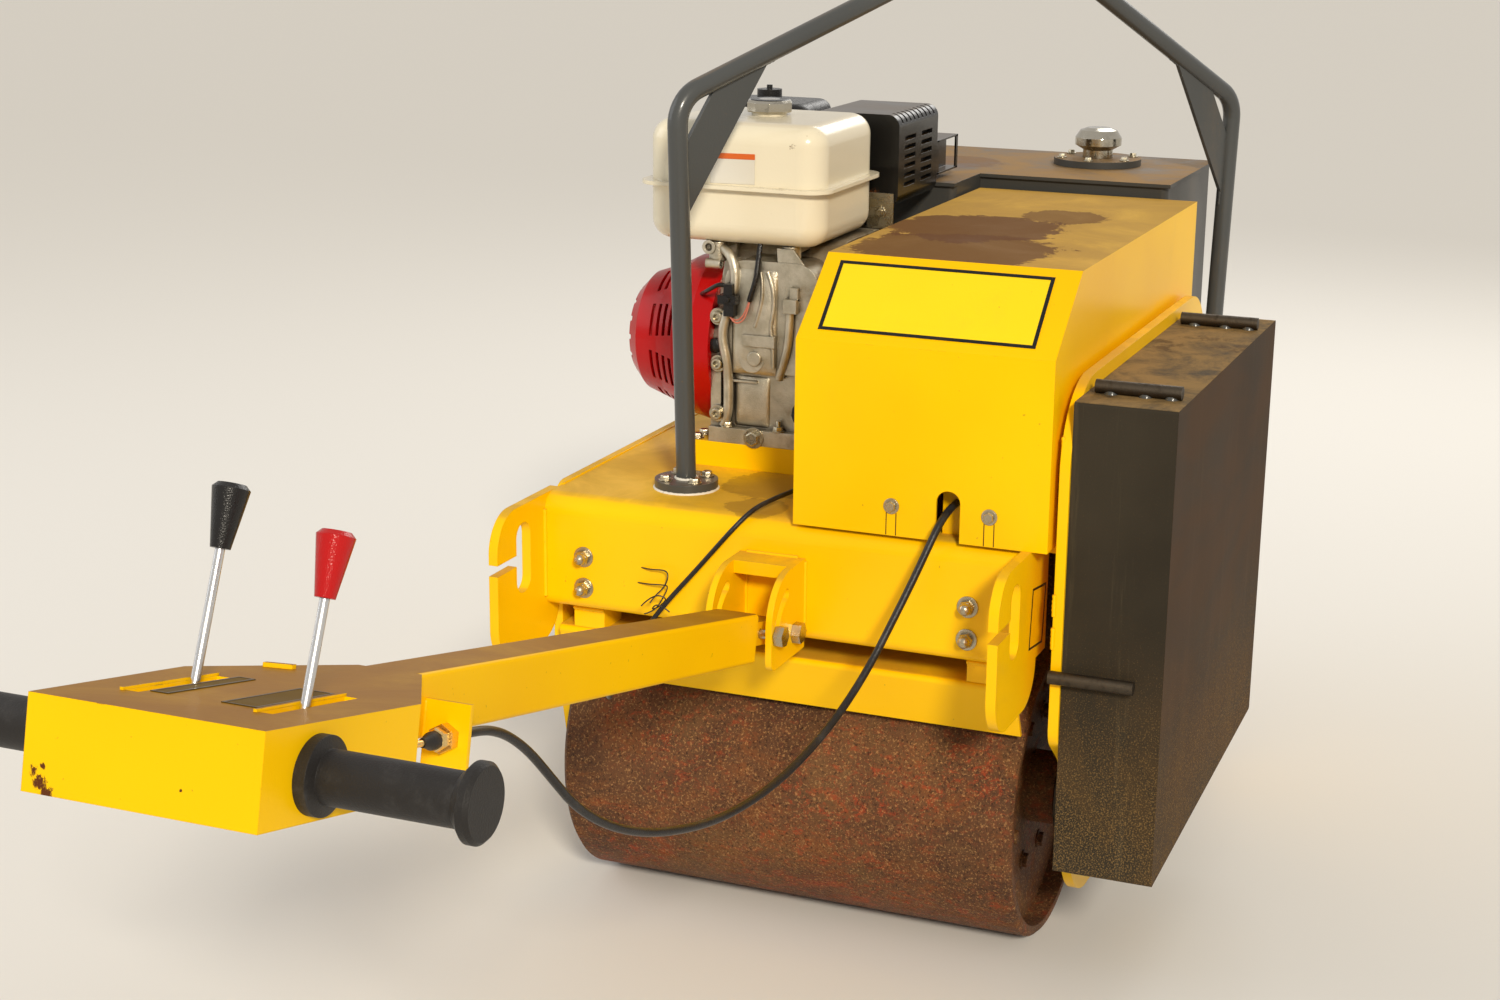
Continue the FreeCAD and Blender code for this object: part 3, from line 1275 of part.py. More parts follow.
CORDS = {
    # from the gland on the handle down in a slack loop and up through the housing's notch
    "control_cable": ("main_cable_radius", [
        (-1382.7, -51, 601.8), (-1353.8, -51, 595.2), (-1325, -51.5, 586.5), (-1295, -53, 571), (-1263, -57, 545),
        (-1232, -62, 510), (-1195, -70, 466), (-1143, -80, 428), (-1080, -92, 398), (-1010, -104, 378),
        (-940, -112, 364), (-868, -121, 360), (-797, -131, 366), (-728, -141, 382), (-672, -152, 407),
        (-628, -165, 443), (-597, -178, 484), (-573, -192, 525), (-555, -204, 562), (-536, -212, 590),
        (-512, -217, 603), (-486.4, -217, 603)]),
    # from the engine over the deck's rear edge, down beside the clevis and along the handle tube
    "throttle_cable": ("thin_cable_radius", [
        (-307.4, 8, 574), (-345, 8, 574), (-385, 10, 575), (-428, 15, 575.5), (-470, 22, 576), (-507, 32, 572),
        (-529, 48, 552), (-535, 72, 522), (-537, 100, 488), (-540, 128, 455), (-548, 150, 424), (-572, 163, 398),
        (-612, 165, 384), (-660, 152, 380), (-712, 128, 388), (-765, 100, 408), (-820, 74, 436), (-878, 54, 468),
        (-938, 43, 499), (-1000, 39, 526), (-1062, 38, 549), (-1125, 38, 565), (-1188, 40, 576),
        (-1250, 44, 583), (-1305, 48.5, 588), (-1353.8, 51, 595.2), (-1382.7, 51, 601.8)]),
}


def cords():
    for label, (radius_word, route) in CORDS.items():
        points = [Vector(*p) for p in route]
        radii = []
        for before, point, after in zip(points, points[1:], points[2:]):
            turn = (point - before).getAngle(after - point)
            run = min((point - before).Length, (after - point).Length)
            radii.append(0.45 * run / math.tan(turn / 2))
        path = rounded_path(points, radii)
        tube = tube_along(path, size(radius_word))
        exact = math.pi * size(radius_word) ** 2 * path.Length
        print(label, "length %.0f" % path.Length, "volume ratio %.4f" % (tube.Volume / exact),
              "radii", [round(r) for r in radii])
        solid(label, tube)


drums()
deck()
side_plates()
hooks()
scrapers()
clevis()
handle()
housing()
guard()
oil_tank()
hoop()
engine()
fuel_tank()
muffler()
cords()
doc.recompute()

for thing in doc.Objects:
    if {"Invalid", "Error"} & set(thing.State):
        raise ValueError("%s failed: %s" % (thing.Label, thing.State))
for label, thing in PIECES.items():
    if thing.Shape.isNull() or not thing.Shape.isValid() or not thing.Shape.Solids:
        raise ValueError("%s has no valid solid" % label)

os.makedirs("parts", exist_ok=True)
for label, thing in PIECES.items():
    thing.Shape.exportStep("parts/%s.step" % label)
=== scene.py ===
"""Walk-behind double drum roller: finishes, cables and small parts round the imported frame.

Metres. X points forwards, away from the operator, Y to the left and Z up.
"""
import json
import math
import random

import bmesh
import bpy
from mathutils import Matrix, Vector


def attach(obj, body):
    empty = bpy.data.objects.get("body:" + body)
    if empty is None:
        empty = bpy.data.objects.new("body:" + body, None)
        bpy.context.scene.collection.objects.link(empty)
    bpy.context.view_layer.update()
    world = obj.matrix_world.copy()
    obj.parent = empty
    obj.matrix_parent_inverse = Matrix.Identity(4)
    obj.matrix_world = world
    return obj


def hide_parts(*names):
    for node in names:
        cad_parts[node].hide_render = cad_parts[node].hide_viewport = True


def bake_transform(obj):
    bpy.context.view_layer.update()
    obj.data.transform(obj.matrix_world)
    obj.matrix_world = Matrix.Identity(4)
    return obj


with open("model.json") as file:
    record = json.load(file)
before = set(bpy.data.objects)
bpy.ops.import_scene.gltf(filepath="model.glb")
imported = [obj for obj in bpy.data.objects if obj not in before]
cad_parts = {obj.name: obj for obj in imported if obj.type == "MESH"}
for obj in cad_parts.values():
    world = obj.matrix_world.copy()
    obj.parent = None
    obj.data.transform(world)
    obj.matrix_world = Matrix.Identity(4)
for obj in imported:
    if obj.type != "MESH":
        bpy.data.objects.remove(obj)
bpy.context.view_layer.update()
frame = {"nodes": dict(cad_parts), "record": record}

MM = 0.001


# camera, at the viewing angle of the photograph

CAMERA_AT = Vector((-3.0724, -1.0058, 1.3405))
YAW, PITCH, ROLL = (math.radians(a) for a in (22.1, 15.3, -0.6))
SENSOR, FOCAL_PIXELS, PHOTO_WIDTH = 36.0, 2387.1, 1500


def add_camera():
    ahead = Vector((math.cos(YAW) * math.cos(PITCH), math.sin(YAW) * math.cos(PITCH), -math.sin(PITCH)))
    level = Vector((math.sin(YAW), -math.cos(YAW), 0))
    upright = level.cross(ahead)
    right = math.cos(ROLL) * level - math.sin(ROLL) * upright
    top = math.cos(ROLL) * upright + math.sin(ROLL) * level
    lens = bpy.data.cameras.new("camera")
    lens.sensor_width = SENSOR
    lens.lens = FOCAL_PIXELS / PHOTO_WIDTH * SENSOR
    camera = bpy.data.objects.new("camera", lens)
    turn = Matrix((right, top, -ahead)).transposed().to_4x4()
    camera.matrix_world = Matrix.Translation(CAMERA_AT) @ turn
    bpy.context.scene.collection.objects.link(camera)
    bpy.context.scene.camera = camera


# materials, built from nodes

BEVEL_SAMPLES, CORNER_SAMPLES = 4, 6
COAT_ROUGHNESS = 0.12
EDGE_BEND = (0.02, 0.12)
CORNER_SHADE = (0.75, 0.3)


class Shader:
    """A node material with one Principled surface."""

    def __init__(self, name, roughness=0.5, metallic=0.0, coat=0.0, specular=0.3):
        self.material = bpy.data.materials.new(name)
        self.material.use_nodes = True
        self.tree = self.material.node_tree
        self.surface = self.tree.nodes["Principled BSDF"]
        self.surface.inputs["Roughness"].default_value = roughness
        self.surface.inputs["Metallic"].default_value = metallic
        self.surface.inputs["Coat Weight"].default_value = coat
        self.surface.inputs["Coat Roughness"].default_value = COAT_ROUGHNESS
        self.surface.inputs["Specular IOR Level"].default_value = specular
        place = self.tree.nodes.new("ShaderNodeTexCoord")
        self.place = place.outputs["Object"]
        self.normal = place.outputs["Normal"]

    def put(self, value, socket):
        """Link a socket to a socket, or set a plain value."""
        if isinstance(value, bpy.types.NodeSocket):
            self.tree.links.new(value, socket)
        else:
            socket.default_value = value

    def math(self, operation, a, b):
        node = self.tree.nodes.new("ShaderNodeMath")
        node.operation = operation
        self.put(a, node.inputs[0])
        self.put(b, node.inputs[1])
        return node.outputs[0]

    def times(self, a, b):
        return self.math("MULTIPLY", a, b)

    def plus(self, a, b):
        return self.math("ADD", a, b)

    def scaled(self, x=1.0, y=1.0, z=1.0):
        """Coordinates stretched along the axes."""
        node = self.tree.nodes.new("ShaderNodeMapping")
        self.tree.links.new(self.place, node.inputs["Vector"])
        node.inputs["Scale"].default_value = (x, y, z)
        return node.outputs[0]

    def noise(self, scale, detail=4.0, rough=0.55, place=None, warp=0.0):
        node = self.tree.nodes.new("ShaderNodeTexNoise")
        self.tree.links.new(place or self.place, node.inputs["Vector"])
        node.inputs["Scale"].default_value = scale
        node.inputs["Detail"].default_value = detail
        node.inputs["Roughness"].default_value = rough
        node.inputs["Distortion"].default_value = warp
        return node.outputs["Fac"]

    def step(self, value, low, high):
        """0 below low, 1 above high, smooth between them."""
        node = self.tree.nodes.new("ShaderNodeMapRange")
        node.interpolation_type = "SMOOTHSTEP"
        self.put(value, node.inputs["Value"])
        node.inputs["From Min"].default_value = low
        node.inputs["From Max"].default_value = high
        return node.outputs["Result"]

    def axis(self, vector, index):
        """One of the three numbers of a vector."""
        node = self.tree.nodes.new("ShaderNodeSeparateXYZ")
        self.tree.links.new(vector, node.inputs[0])
        return node.outputs[index]

    def mix(self, share, a, b):
        """Colour a where share is 0, colour b where it is 1."""
        node = self.tree.nodes.new("ShaderNodeMix")
        node.data_type = "RGBA"
        self.put(share, node.inputs[0])
        self.put(a, node.inputs[6])
        self.put(b, node.inputs[7])
        return node.outputs[2]

    def rounded_normal(self, radius):
        """The normal that the surface would have if its edges were rounded."""
        bevel = self.tree.nodes.new("ShaderNodeBevel")
        bevel.samples = BEVEL_SAMPLES
        bevel.inputs["Radius"].default_value = radius
        return bevel.outputs[0]

    def edges(self, width):
        """1 within about width of an edge, 0 on open faces."""
        rounded = self.rounded_normal(width)
        plain = self.tree.nodes.new("ShaderNodeNewGeometry")
        dot = self.tree.nodes.new("ShaderNodeVectorMath")
        dot.operation = "DOT_PRODUCT"
        self.tree.links.new(rounded, dot.inputs[0])
        self.tree.links.new(plain.outputs["Normal"], dot.inputs[1])
        return self.step(self.math("SUBTRACT", 1.0, dot.outputs["Value"]), *EDGE_BEND)

    def near(self, x, y, z, radius, core):
        """1 within a share, core, of radius from a row point, 0 beyond radius; millimetres."""
        node = self.tree.nodes.new("ShaderNodeVectorMath")
        node.operation = "DISTANCE"
        self.tree.links.new(self.place, node.inputs[0])
        node.inputs[1].default_value = (x * MM, y * MM, z * MM)
        return self.step(node.outputs["Value"], radius * MM, core * radius * MM)

    def painted_corner_shade(self, reach):
        """Painted shade: 1 deep in a corner or a gap, where ambient occlusion finds little open sky, 0 on
        open faces.
        """
        node = self.tree.nodes.new("ShaderNodeAmbientOcclusion")
        node.samples = CORNER_SAMPLES
        node.inputs["Distance"].default_value = reach
        return self.step(node.outputs["AO"], *CORNER_SHADE)

    def colour(self, value):
        self.put(value, self.surface.inputs["Base Color"])

    def roughness(self, value):
        self.put(value, self.surface.inputs["Roughness"])

    def bump(self, height, depth, soft_edge):
        """Relief of that depth in metres, over edges rounded by soft_edge."""
        node = self.tree.nodes.new("ShaderNodeBump")
        node.inputs["Distance"].default_value = depth
        self.put(height, node.inputs["Height"])
        self.tree.links.new(self.rounded_normal(soft_edge), node.inputs["Normal"])
        self.tree.links.new(node.outputs[0], self.surface.inputs["Normal"])


def srgb(red, green, blue):
    """Linear colour from the 0 to 255 values that a picture shows."""
    def lin(value):
        value /= 255
        return value / 12.92 if value <= 0.04045 else ((value + 0.055) / 1.055) ** 2.4
    return (lin(red), lin(green), lin(blue), 1.0)


DUST, WET_DIRT = srgb(158, 120, 62), srgb(98, 58, 12)
SPATTER, WORN_EDGE = srgb(110, 80, 35), srgb(88, 62, 34)
YELLOW, YELLOW_SHADE = srgb(255, 202, 0), srgb(244, 186, 0)
GREY, GREY_SHADE = srgb(66, 66, 64), srgb(56, 55, 52)
RUST, BARE = srgb(92, 48, 22), srgb(120, 92, 60)
FACES_UP = (0.82, 0.94)


def painted(name, colour, shade, dust=0.35, stains=(), rough=0.32, chips=0.35, coat=0.06, marks=(),
            film=DUST, patchy=0.2, matting=0.5, specular=0.3):
    """Sprayed gloss paint: dust on what faces up, wet stains and rubbed marks round given points.

    dust is the share of the film's colour on top, patchy is lower where the film is more even, and
    matting is how far the film dulls the gloss. A stain is a row point, a radius and a share, and a
    mark is a row point, a radius and a colour; millimetres.
    """
    m = Shader(name, roughness=rough, coat=coat, specular=specular)
    base = m.mix(m.step(m.noise(2.2, 3), 0.3, 0.75), colour, shade)
    grime = m.step(m.noise(9, 8, 0.7, m.scaled(1, 1, 0.35)), 0.56, 0.8)
    base = m.mix(m.times(grime, 0.1), base, DUST)
    up = m.step(m.axis(m.normal, 2), *FACES_UP)
    spread = m.step(m.noise(7, 7, 0.65, warp=0.6), patchy, 0.66)
    settled = m.times(up, m.times(spread, dust))
    base = m.mix(settled, base, film)
    for x, y, z, radius, share in stains:
        tongues = m.noise(13, 9, 0.78, warp=0.4)
        ragged = m.plus(m.near(x, y, z, radius, 0.0), m.times(tongues, 1.3))
        wet = m.times(m.step(ragged, 0.92, 0.99), m.times(up, share))
        base = m.mix(wet, base, WET_DIRT)
    specks = m.step(m.noise(160, 2, 0.5), 0.74, 0.8)
    base = m.mix(m.times(specks, 0.4), base, SPATTER)
    worn = m.times(m.edges(0.0016), m.step(m.noise(38, 5, 0.7), 0.56, 0.66))
    base = m.mix(m.times(worn, chips), base, WORN_EDGE)
    for x, y, z, radius, tint in marks:
        grain = m.noise(1, 8, 0.85, m.scaled(260, 260, 130), warp=1.6)
        ragged = m.plus(m.near(x, y, z, radius, 0.0), m.times(grain, 2.6))
        base = m.mix(m.step(ragged, 1.84, 1.95), base, tint)
    m.colour(base)
    m.roughness(m.plus(m.times(settled, matting), rough))
    peel = m.plus(m.times(m.noise(240, 2), 0.25), m.times(m.noise(12, 2), 0.6))
    m.bump(peel, 0.0006, soft_edge=0.0012)
    return m.material


def guard_paint():
    """Dark sheet: sand on top, a painted brown reflection on the outer face, pale scuffs, mud thrown up from
    below.
    """
    m = Shader("guard_paint", roughness=0.7, specular=0.1)
    base = m.mix(m.step(m.noise(3, 4), 0.3, 0.7), srgb(58, 52, 42), srgb(46, 41, 33))
    scuffs = m.step(m.noise(1, 6, 0.7, m.scaled(60, 60, 3)), 0.54, 0.75)
    base = m.mix(m.times(scuffs, 0.3), base, srgb(104, 92, 70))
    # painted reflection: faces that point to -Y get a banded brown tint
    painted_reflection_side = m.step(m.times(m.axis(m.normal, 1), -1.0), 0.6, 0.9)
    reflection_bands = m.step(m.noise(1, 5, 0.6, m.scaled(2.2, 2, 7), warp=0.5), 0.34, 0.62)
    film = m.times(painted_reflection_side, m.plus(m.times(reflection_bands, 0.5), 0.3))
    base = m.mix(film, base, srgb(74, 50, 26))
    low = m.step(m.axis(m.place, 2), 0.52, 0.24)
    mud = m.step(m.plus(m.noise(520, 4, 0.7), m.times(low, 0.1)), 0.6, 0.7)
    mud = m.times(mud, m.plus(m.times(low, 0.42), 0.06))
    base = m.mix(mud, base, srgb(164, 130, 78))
    haze = m.times(low, m.step(m.noise(9, 6, 0.7, m.scaled(1, 1, 0.5), warp=0.6), 0.4, 0.7))
    base = m.mix(m.times(haze, 0.3), base, srgb(108, 80, 44))
    up = m.step(m.axis(m.normal, 2), *FACES_UP)
    sand = m.times(up, m.step(m.noise(14, 8, 0.75, warp=0.5), 0.26, 0.6))
    base = m.mix(m.times(sand, 0.85), base, srgb(152, 124, 80))
    ring = m.times(m.step(m.near(-130, -420, 742, 75, 0.4), 0.05, 0.3),
                  m.step(m.noise(30, 5, 0.7), 0.5, 0.6))
    base = m.mix(m.times(m.times(ring, up), 0.6), base, srgb(70, 50, 30))
    m.colour(base)
    m.roughness(m.plus(m.times(m.plus(sand, mud), 0.2), 0.66))
    waves = m.plus(m.times(m.noise(2.4, 2), 9.0), m.times(mud, 0.4))
    m.bump(waves, 0.001, soft_edge=0.0015)
    return m.material


def rusty_drum():
    """Bare rolled steel: brown skin, orange rust, dry mud and pale grains over dark pits."""
    m = Shader("drum_steel", roughness=0.7, specular=0.2)
    skin = m.mix(m.step(m.noise(5, 6, 0.7), 0.3, 0.7), srgb(72, 47, 31), srgb(110, 72, 44))
    streaks = m.step(m.noise(26, 7, 0.75, m.scaled(1, 0.5, 1), warp=0.5), 0.48, 0.68)
    skin = m.mix(m.times(streaks, 0.5), skin, srgb(134, 80, 42))
    patch = m.step(m.noise(6.5, 8, 0.74, warp=0.8), 0.57, 0.68)
    skin = m.mix(m.times(patch, 0.5), skin, srgb(164, 66, 28))
    zones = m.step(m.noise(4.5, 5, 0.6), 0.4, 0.6)
    fresh = m.times(zones, m.step(m.noise(105, 7, 0.8, m.scaled(1, 0.6, 1), warp=0.4), 0.5, 0.62))
    skin = m.mix(m.times(fresh, 0.55), skin, srgb(176, 62, 26))
    mud = m.step(m.noise(4.2, 7, 0.7, m.scaled(1, 1.5, 1), warp=0.4), 0.5, 0.66)
    skin = m.mix(m.times(mud, 0.5), skin, srgb(112, 84, 50))
    grain = m.step(m.noise(330, 4, 0.7), 0.54, 0.64)
    skin = m.mix(m.times(grain, 0.6), skin, srgb(186, 140, 88))
    pits = m.step(m.noise(230, 5, 0.75), 0.53, 0.64)
    skin = m.mix(m.times(pits, 0.75), skin, srgb(40, 24, 14))
    m.colour(skin)
    m.roughness(m.plus(m.times(streaks, 0.2), 0.56))
    m.bump(m.plus(m.noise(230, 5, 0.75), m.noise(22, 3)), 0.002, soft_edge=0.002)
    return m.material


def metal(name, colour, rough, grain=90, depth=0.0003, dirt=0.25):
    """Plated or bare metal with fingerprints, dull patches, and dirt and painted shade in its corners."""
    m = Shader(name, roughness=rough, metallic=1.0, specular=0.5)
    smear = m.step(m.noise(grain, 5, 0.6), 0.45, 0.75)
    dull = tuple(0.45 * c for c in colour[:3]) + (1.0,)
    skin = m.mix(m.times(smear, dirt), colour, dull)
    # dirt and painted shade: dark brown deep in corners and gaps, from the ambient occlusion mask
    m.colour(m.mix(m.times(m.painted_corner_shade(0.004), 0.7), skin, srgb(48, 36, 22)))
    m.roughness(m.plus(m.times(smear, 0.25), rough))
    m.bump(m.noise(grain * 6, 3), depth, soft_edge=0.0006)
    return m.material


def cast_aluminium():
    """Sand-cast alloy: a grainy grey skin with oil patches, and oily dirt and painted shade in the corners.
    """
    m = Shader("cast_aluminium", roughness=0.4, metallic=0.85, specular=0.5)
    skin = m.mix(m.step(m.noise(40, 5), 0.3, 0.7), srgb(176, 168, 148), srgb(206, 198, 180))
    oil = m.step(m.noise(11, 7, 0.7, warp=0.6), 0.5, 0.68)
    skin = m.mix(m.times(oil, 0.55), skin, srgb(112, 90, 56))
    # oily dirt and painted shade: near-black brown deep in corners and gaps, from the ambient occlusion mask
    skin = m.mix(m.times(m.painted_corner_shade(0.012), 0.85), skin, srgb(46, 34, 20))
    m.colour(skin)
    m.roughness(m.plus(m.times(oil, 0.15), 0.34))
    m.bump(m.noise(520, 3, 0.6), 0.0006, soft_edge=0.0015)
    return m.material


def moulded(name, colour, rough, speck=0.35):
    """Moulded plastic or rubber with a fine grain and pale dust in it."""
    m = Shader(name, roughness=rough, specular=0.4)
    worn = m.step(m.noise(30, 6, 0.7), 0.5, 0.8)
    pale = tuple(min(1.0, c + 0.09) for c in colour[:3]) + (1.0,)
    m.colour(m.mix(m.times(worn, speck), colour, pale))
    m.roughness(m.plus(m.times(worn, 0.2), rough))
    m.bump(m.noise(700, 2), 0.0004, soft_edge=0.0008)
    return m.material


# stains and marks at the photograph's places

DECK_STAINS = [(-360, 60, 564, 110, 0.45), (-470, 40, 564, 60, 0.4)]
HOUSING_STAINS = [(-330, -150, 875, 190, 0.85), (-160, -130, 875, 170, 0.9), (-20, -210, 875, 90, 0.7)]
OIL_TANK_STAINS = [(330, 60, 893, 120, 0.5)]
BOX_RUST = [(-1761, 92, 684, 11, RUST), (-1760, 86, 676, 12, RUST), (-1759, 79, 668, 13, RUST),
            (-1757, 84, 688, 6, RUST), (-1759, 46, 659, 6, RUST), (-1758, 30, 660, 5, RUST),
            (-1756, 20, 704, 3, RUST), (-1757, -36, 688, 3, RUST), (-1758, -20, 662, 4, RUST)]
FUEL_TANK_CHIPS = [(-322, 62, 985, 14, BARE), (-300, 30, 1006, 16, BARE), (-325, 120, 905, 10, BARE)]
MUFFLER_SCORCH = [(-80, 40, 890, 26, srgb(96, 56, 28))]

MATERIALS = {
    "yellow_paint": painted("yellow_paint", YELLOW, YELLOW_SHADE, dust=0.5, coat=0.03, specular=0.2,
                            stains=DECK_STAINS),
    "yellow_top": painted("yellow_top", YELLOW, YELLOW_SHADE, dust=0.9, film=srgb(172, 134, 66),
                          patchy=-0.25, coat=0.0, specular=0.14, stains=HOUSING_STAINS),
    "yellow_box": painted("yellow_box", YELLOW, YELLOW_SHADE, dust=0.95, film=srgb(150, 98, 14), patchy=-0.6,
                          matting=0.1, chips=0.8, rough=0.36, coat=0.0, specular=0.14, marks=BOX_RUST),
    "grey_paint": painted("grey_paint", GREY, GREY_SHADE, dust=0.9, rough=0.4, stains=OIL_TANK_STAINS),
    "guard_paint": guard_paint(),
    "hoop_paint": painted("hoop_paint", srgb(72, 74, 74), srgb(62, 63, 62), dust=0.2, rough=0.3, coat=0.3),
    "cream_paint": painted("cream_paint", srgb(238, 230, 206), srgb(226, 216, 190), dust=0.2, rough=0.22,
                           chips=0.6, coat=0.4, marks=FUEL_TANK_CHIPS),
    "red_paint": painted("red_paint", srgb(188, 8, 10), srgb(162, 6, 8), dust=0.12, rough=0.26, chips=0.2,
                         specular=0.2),
    "plate_yellow": painted("plate_yellow", srgb(255, 220, 10), srgb(252, 208, 0), dust=0.1, chips=0.0),
    "plate_olive": painted("plate_olive", srgb(112, 88, 22), srgb(94, 70, 18), dust=0.3, chips=0.0, coat=0.0,
                           rough=0.5, film=srgb(120, 84, 20), specular=0.12),
    "orange_band": painted("orange_band", srgb(222, 108, 44), srgb(206, 96, 40), dust=0.1, chips=0.0),
    "sealant": painted("sealant", srgb(232, 230, 222), srgb(206, 198, 180), dust=0.2, chips=0.0),
    # dark brown: printed border of the lever plates, and painted shade in the gaps beside the housing's tabs
    "dark_border_and_gap_shade": painted("dark_border_and_gap_shade", srgb(70, 50, 16), srgb(60, 42, 12), dust=0.1, chips=0.0),
    "black_paint": painted("black_paint", srgb(16, 15, 14), srgb(10, 10, 9), dust=0.2, rough=0.24, chips=0.2,
                           coat=0.1, marks=MUFFLER_SCORCH),
    "drum_steel": rusty_drum(),
    "rusty_nut": rusty_drum(),
    "dark_steel": metal("dark_steel", srgb(84, 76, 66), 0.5, dirt=0.5),
    "zinc_steel": metal("zinc_steel", srgb(188, 178, 154), 0.26, dirt=0.4),
    "gland_plating": metal("gland_plating", srgb(232, 200, 136), 0.24, dirt=0.15),
    "bright_rod": metal("bright_rod", srgb(216, 216, 216), 0.26, grain=30, dirt=0.12, depth=0.00005),
    "chrome_cap": metal("chrome_cap", srgb(186, 180, 166), 0.1, dirt=0.3, depth=0.0001),
    "cast_aluminium": cast_aluminium(),
    "black_plastic": moulded("black_plastic", srgb(24, 22, 21), 0.24, speck=0.12),
    "red_plastic": moulded("red_plastic", srgb(186, 6, 5), 0.16, speck=0.02),
    "red_wire": moulded("red_wire", srgb(196, 116, 96), 0.4),
    "black_rubber": moulded("black_rubber", srgb(30, 27, 25), 0.5),
    "cable_black": moulded("cable_black", srgb(26, 24, 24), 0.34),
}

# pieces that look unlike the rest of their slot
SPECIAL = {
    "drive_housing": "yellow_top",
    "control_box": "yellow_box",
    "handle_beam": "yellow_box",
    "lifting_hoop": "hoop_paint",
    "side_guard": "guard_paint",
    "cable_glands": "gland_plating",
}


def dress_nodes():
    """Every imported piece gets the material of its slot, or its own."""
    slots = {row["node"]: row["material_slot"] for row in frame["record"]["subparts"]}
    for name, thing in frame["nodes"].items():
        key = SPECIAL.get(name, slots[name])
        thing.data.materials.clear()
        thing.data.materials.append(MATERIALS[key])


# cables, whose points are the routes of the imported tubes

CONTROL_CABLE = [
    (-1382.7, -51, 601.8), (-1353.8, -51, 595.2), (-1325, -51.5, 586.5), (-1295, -53, 571),
    (-1263, -57, 545), (-1232, -62, 510), (-1195, -70, 466), (-1143, -80, 428), (-1080, -92, 398),
    (-1010, -104, 378), (-940, -112, 364), (-868, -121, 360), (-797, -131, 366), (-728, -141, 382),
    (-672, -152, 407), (-628, -165, 443), (-597, -178, 484), (-573, -192, 525), (-555, -204, 562),
    (-536, -212, 590), (-512, -217, 603), (-486.4, -217, 603)]
THROTTLE_CABLE = [
    (-307.4, 8, 574), (-345, 8, 574), (-385, 10, 575), (-428, 15, 575.5), (-470, 22, 576), (-507, 32, 572),
    (-529, 48, 552), (-535, 72, 522), (-537, 100, 488), (-540, 128, 455), (-548, 150, 424), (-572, 163, 398),
    (-612, 165, 384), (-660, 152, 380), (-712, 128, 388), (-765, 100, 408), (-820, 74, 436), (-878, 54, 468),
    (-938, 43, 499), (-1000, 39, 526), (-1062, 38, 549), (-1125, 38, 565), (-1188, 40, 576),
    (-1250, 44, 583), (-1305, 48.5, 588), (-1353.8, 51, 595.2), (-1382.7, 51, 601.8)]
CONTROL_RADIUS, CONTROL_LENGTH = 0.0045, 1.089
THROTTLE_RADIUS, THROTTLE_LENGTH = 0.003, 1.311
CABLE_SIDES, ROUTE_STEPS = 14, 6


def smooth_route(points):
    """Points along the smooth line that the route's corners pull."""
    curve = bpy.data.curves.new("route", "CURVE")
    curve.dimensions = "3D"
    curve.resolution_u = ROUTE_STEPS
    spline = curve.splines.new("NURBS")
    spline.points.add(len(points) - 1)
    for point, corner in zip(spline.points, points):
        point.co = (*(Vector(corner) * MM), 1.0)
    spline.order_u = 3
    spline.use_endpoint_u = True
    thing = bpy.data.objects.new("route", curve)
    bpy.context.scene.collection.objects.link(thing)
    bpy.context.view_layer.update()
    line = bpy.data.meshes.new_from_object(thing)
    path = [v.co.copy() for v in line.vertices]
    bpy.data.objects.remove(thing)
    bpy.data.meshes.remove(line)
    return path


def sweep(mesh, path, radius, sides):
    """Closed tube along a path; radius is one value or one for each point."""
    rings = []
    ahead = (path[1] - path[0]).normalized()
    side = ahead.orthogonal().normalized()
    radii = radius if isinstance(radius, list) else [radius] * len(path)
    for i, point in enumerate(path):
        heading = (path[min(i + 1, len(path) - 1)] - path[max(i - 1, 0)]).normalized()
        side = (side - heading * side.dot(heading)).normalized()
        other = heading.cross(side)
        rings.append([mesh.verts.new(point + radii[i] * (math.cos(a) * side + math.sin(a) * other))
                      for a in (2 * math.pi * k / sides for k in range(sides))])
    for one, two in zip(rings, rings[1:]):
        for k in range(sides):
            mesh.faces.new((one[k], one[(k + 1) % sides], two[(k + 1) % sides], two[k]))
    mesh.faces.new(rings[0][::-1])
    mesh.faces.new(rings[-1])


def finish_mesh(name, mesh, material, body, smooth):
    """Turn built faces into a piece that rides on a body; edges sharper than smooth stay sharp."""
    bmesh.ops.recalc_face_normals(mesh, faces=mesh.faces)
    data = bpy.data.meshes.new(name)
    mesh.to_mesh(data)
    mesh.free()
    thing = bpy.data.objects.new(name, data)
    bpy.context.scene.collection.objects.link(thing)
    data.materials.append(MATERIALS[material])
    data.polygons.foreach_set("use_smooth", [True] * len(data.polygons))
    data.set_sharp_from_angle(angle=math.radians(smooth))
    if body:
        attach(thing, body)
    return thing


def add_cable(node, route, radius):
    """A cable along a smooth route between the frame and the raised handle."""
    path = smooth_route(route)
    mesh = bmesh.new()
    sweep(mesh, path, radius, CABLE_SIDES)
    cable = finish_mesh(node + "_outer", mesh, "cable_black", None, smooth=60)
    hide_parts(node)
    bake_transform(cable)


def cables():
    add_cable("control_cable", CONTROL_CABLE, CONTROL_RADIUS)
    add_cable("throttle_cable", THROTTLE_CABLE, THROTTLE_RADIUS)


# small parts, drawn in millimetres and gathered by finish and body

REAR, FRONT, LEFT, RIGHT, UP, DOWN = (-1, 0, 0), (1, 0, 0), (0, 1, 0), (0, -1, 0), (0, 0, 1), (0, 0, -1)
QUARTERS = ((-1, -1), (1, -1), (1, 1), (-1, 1))

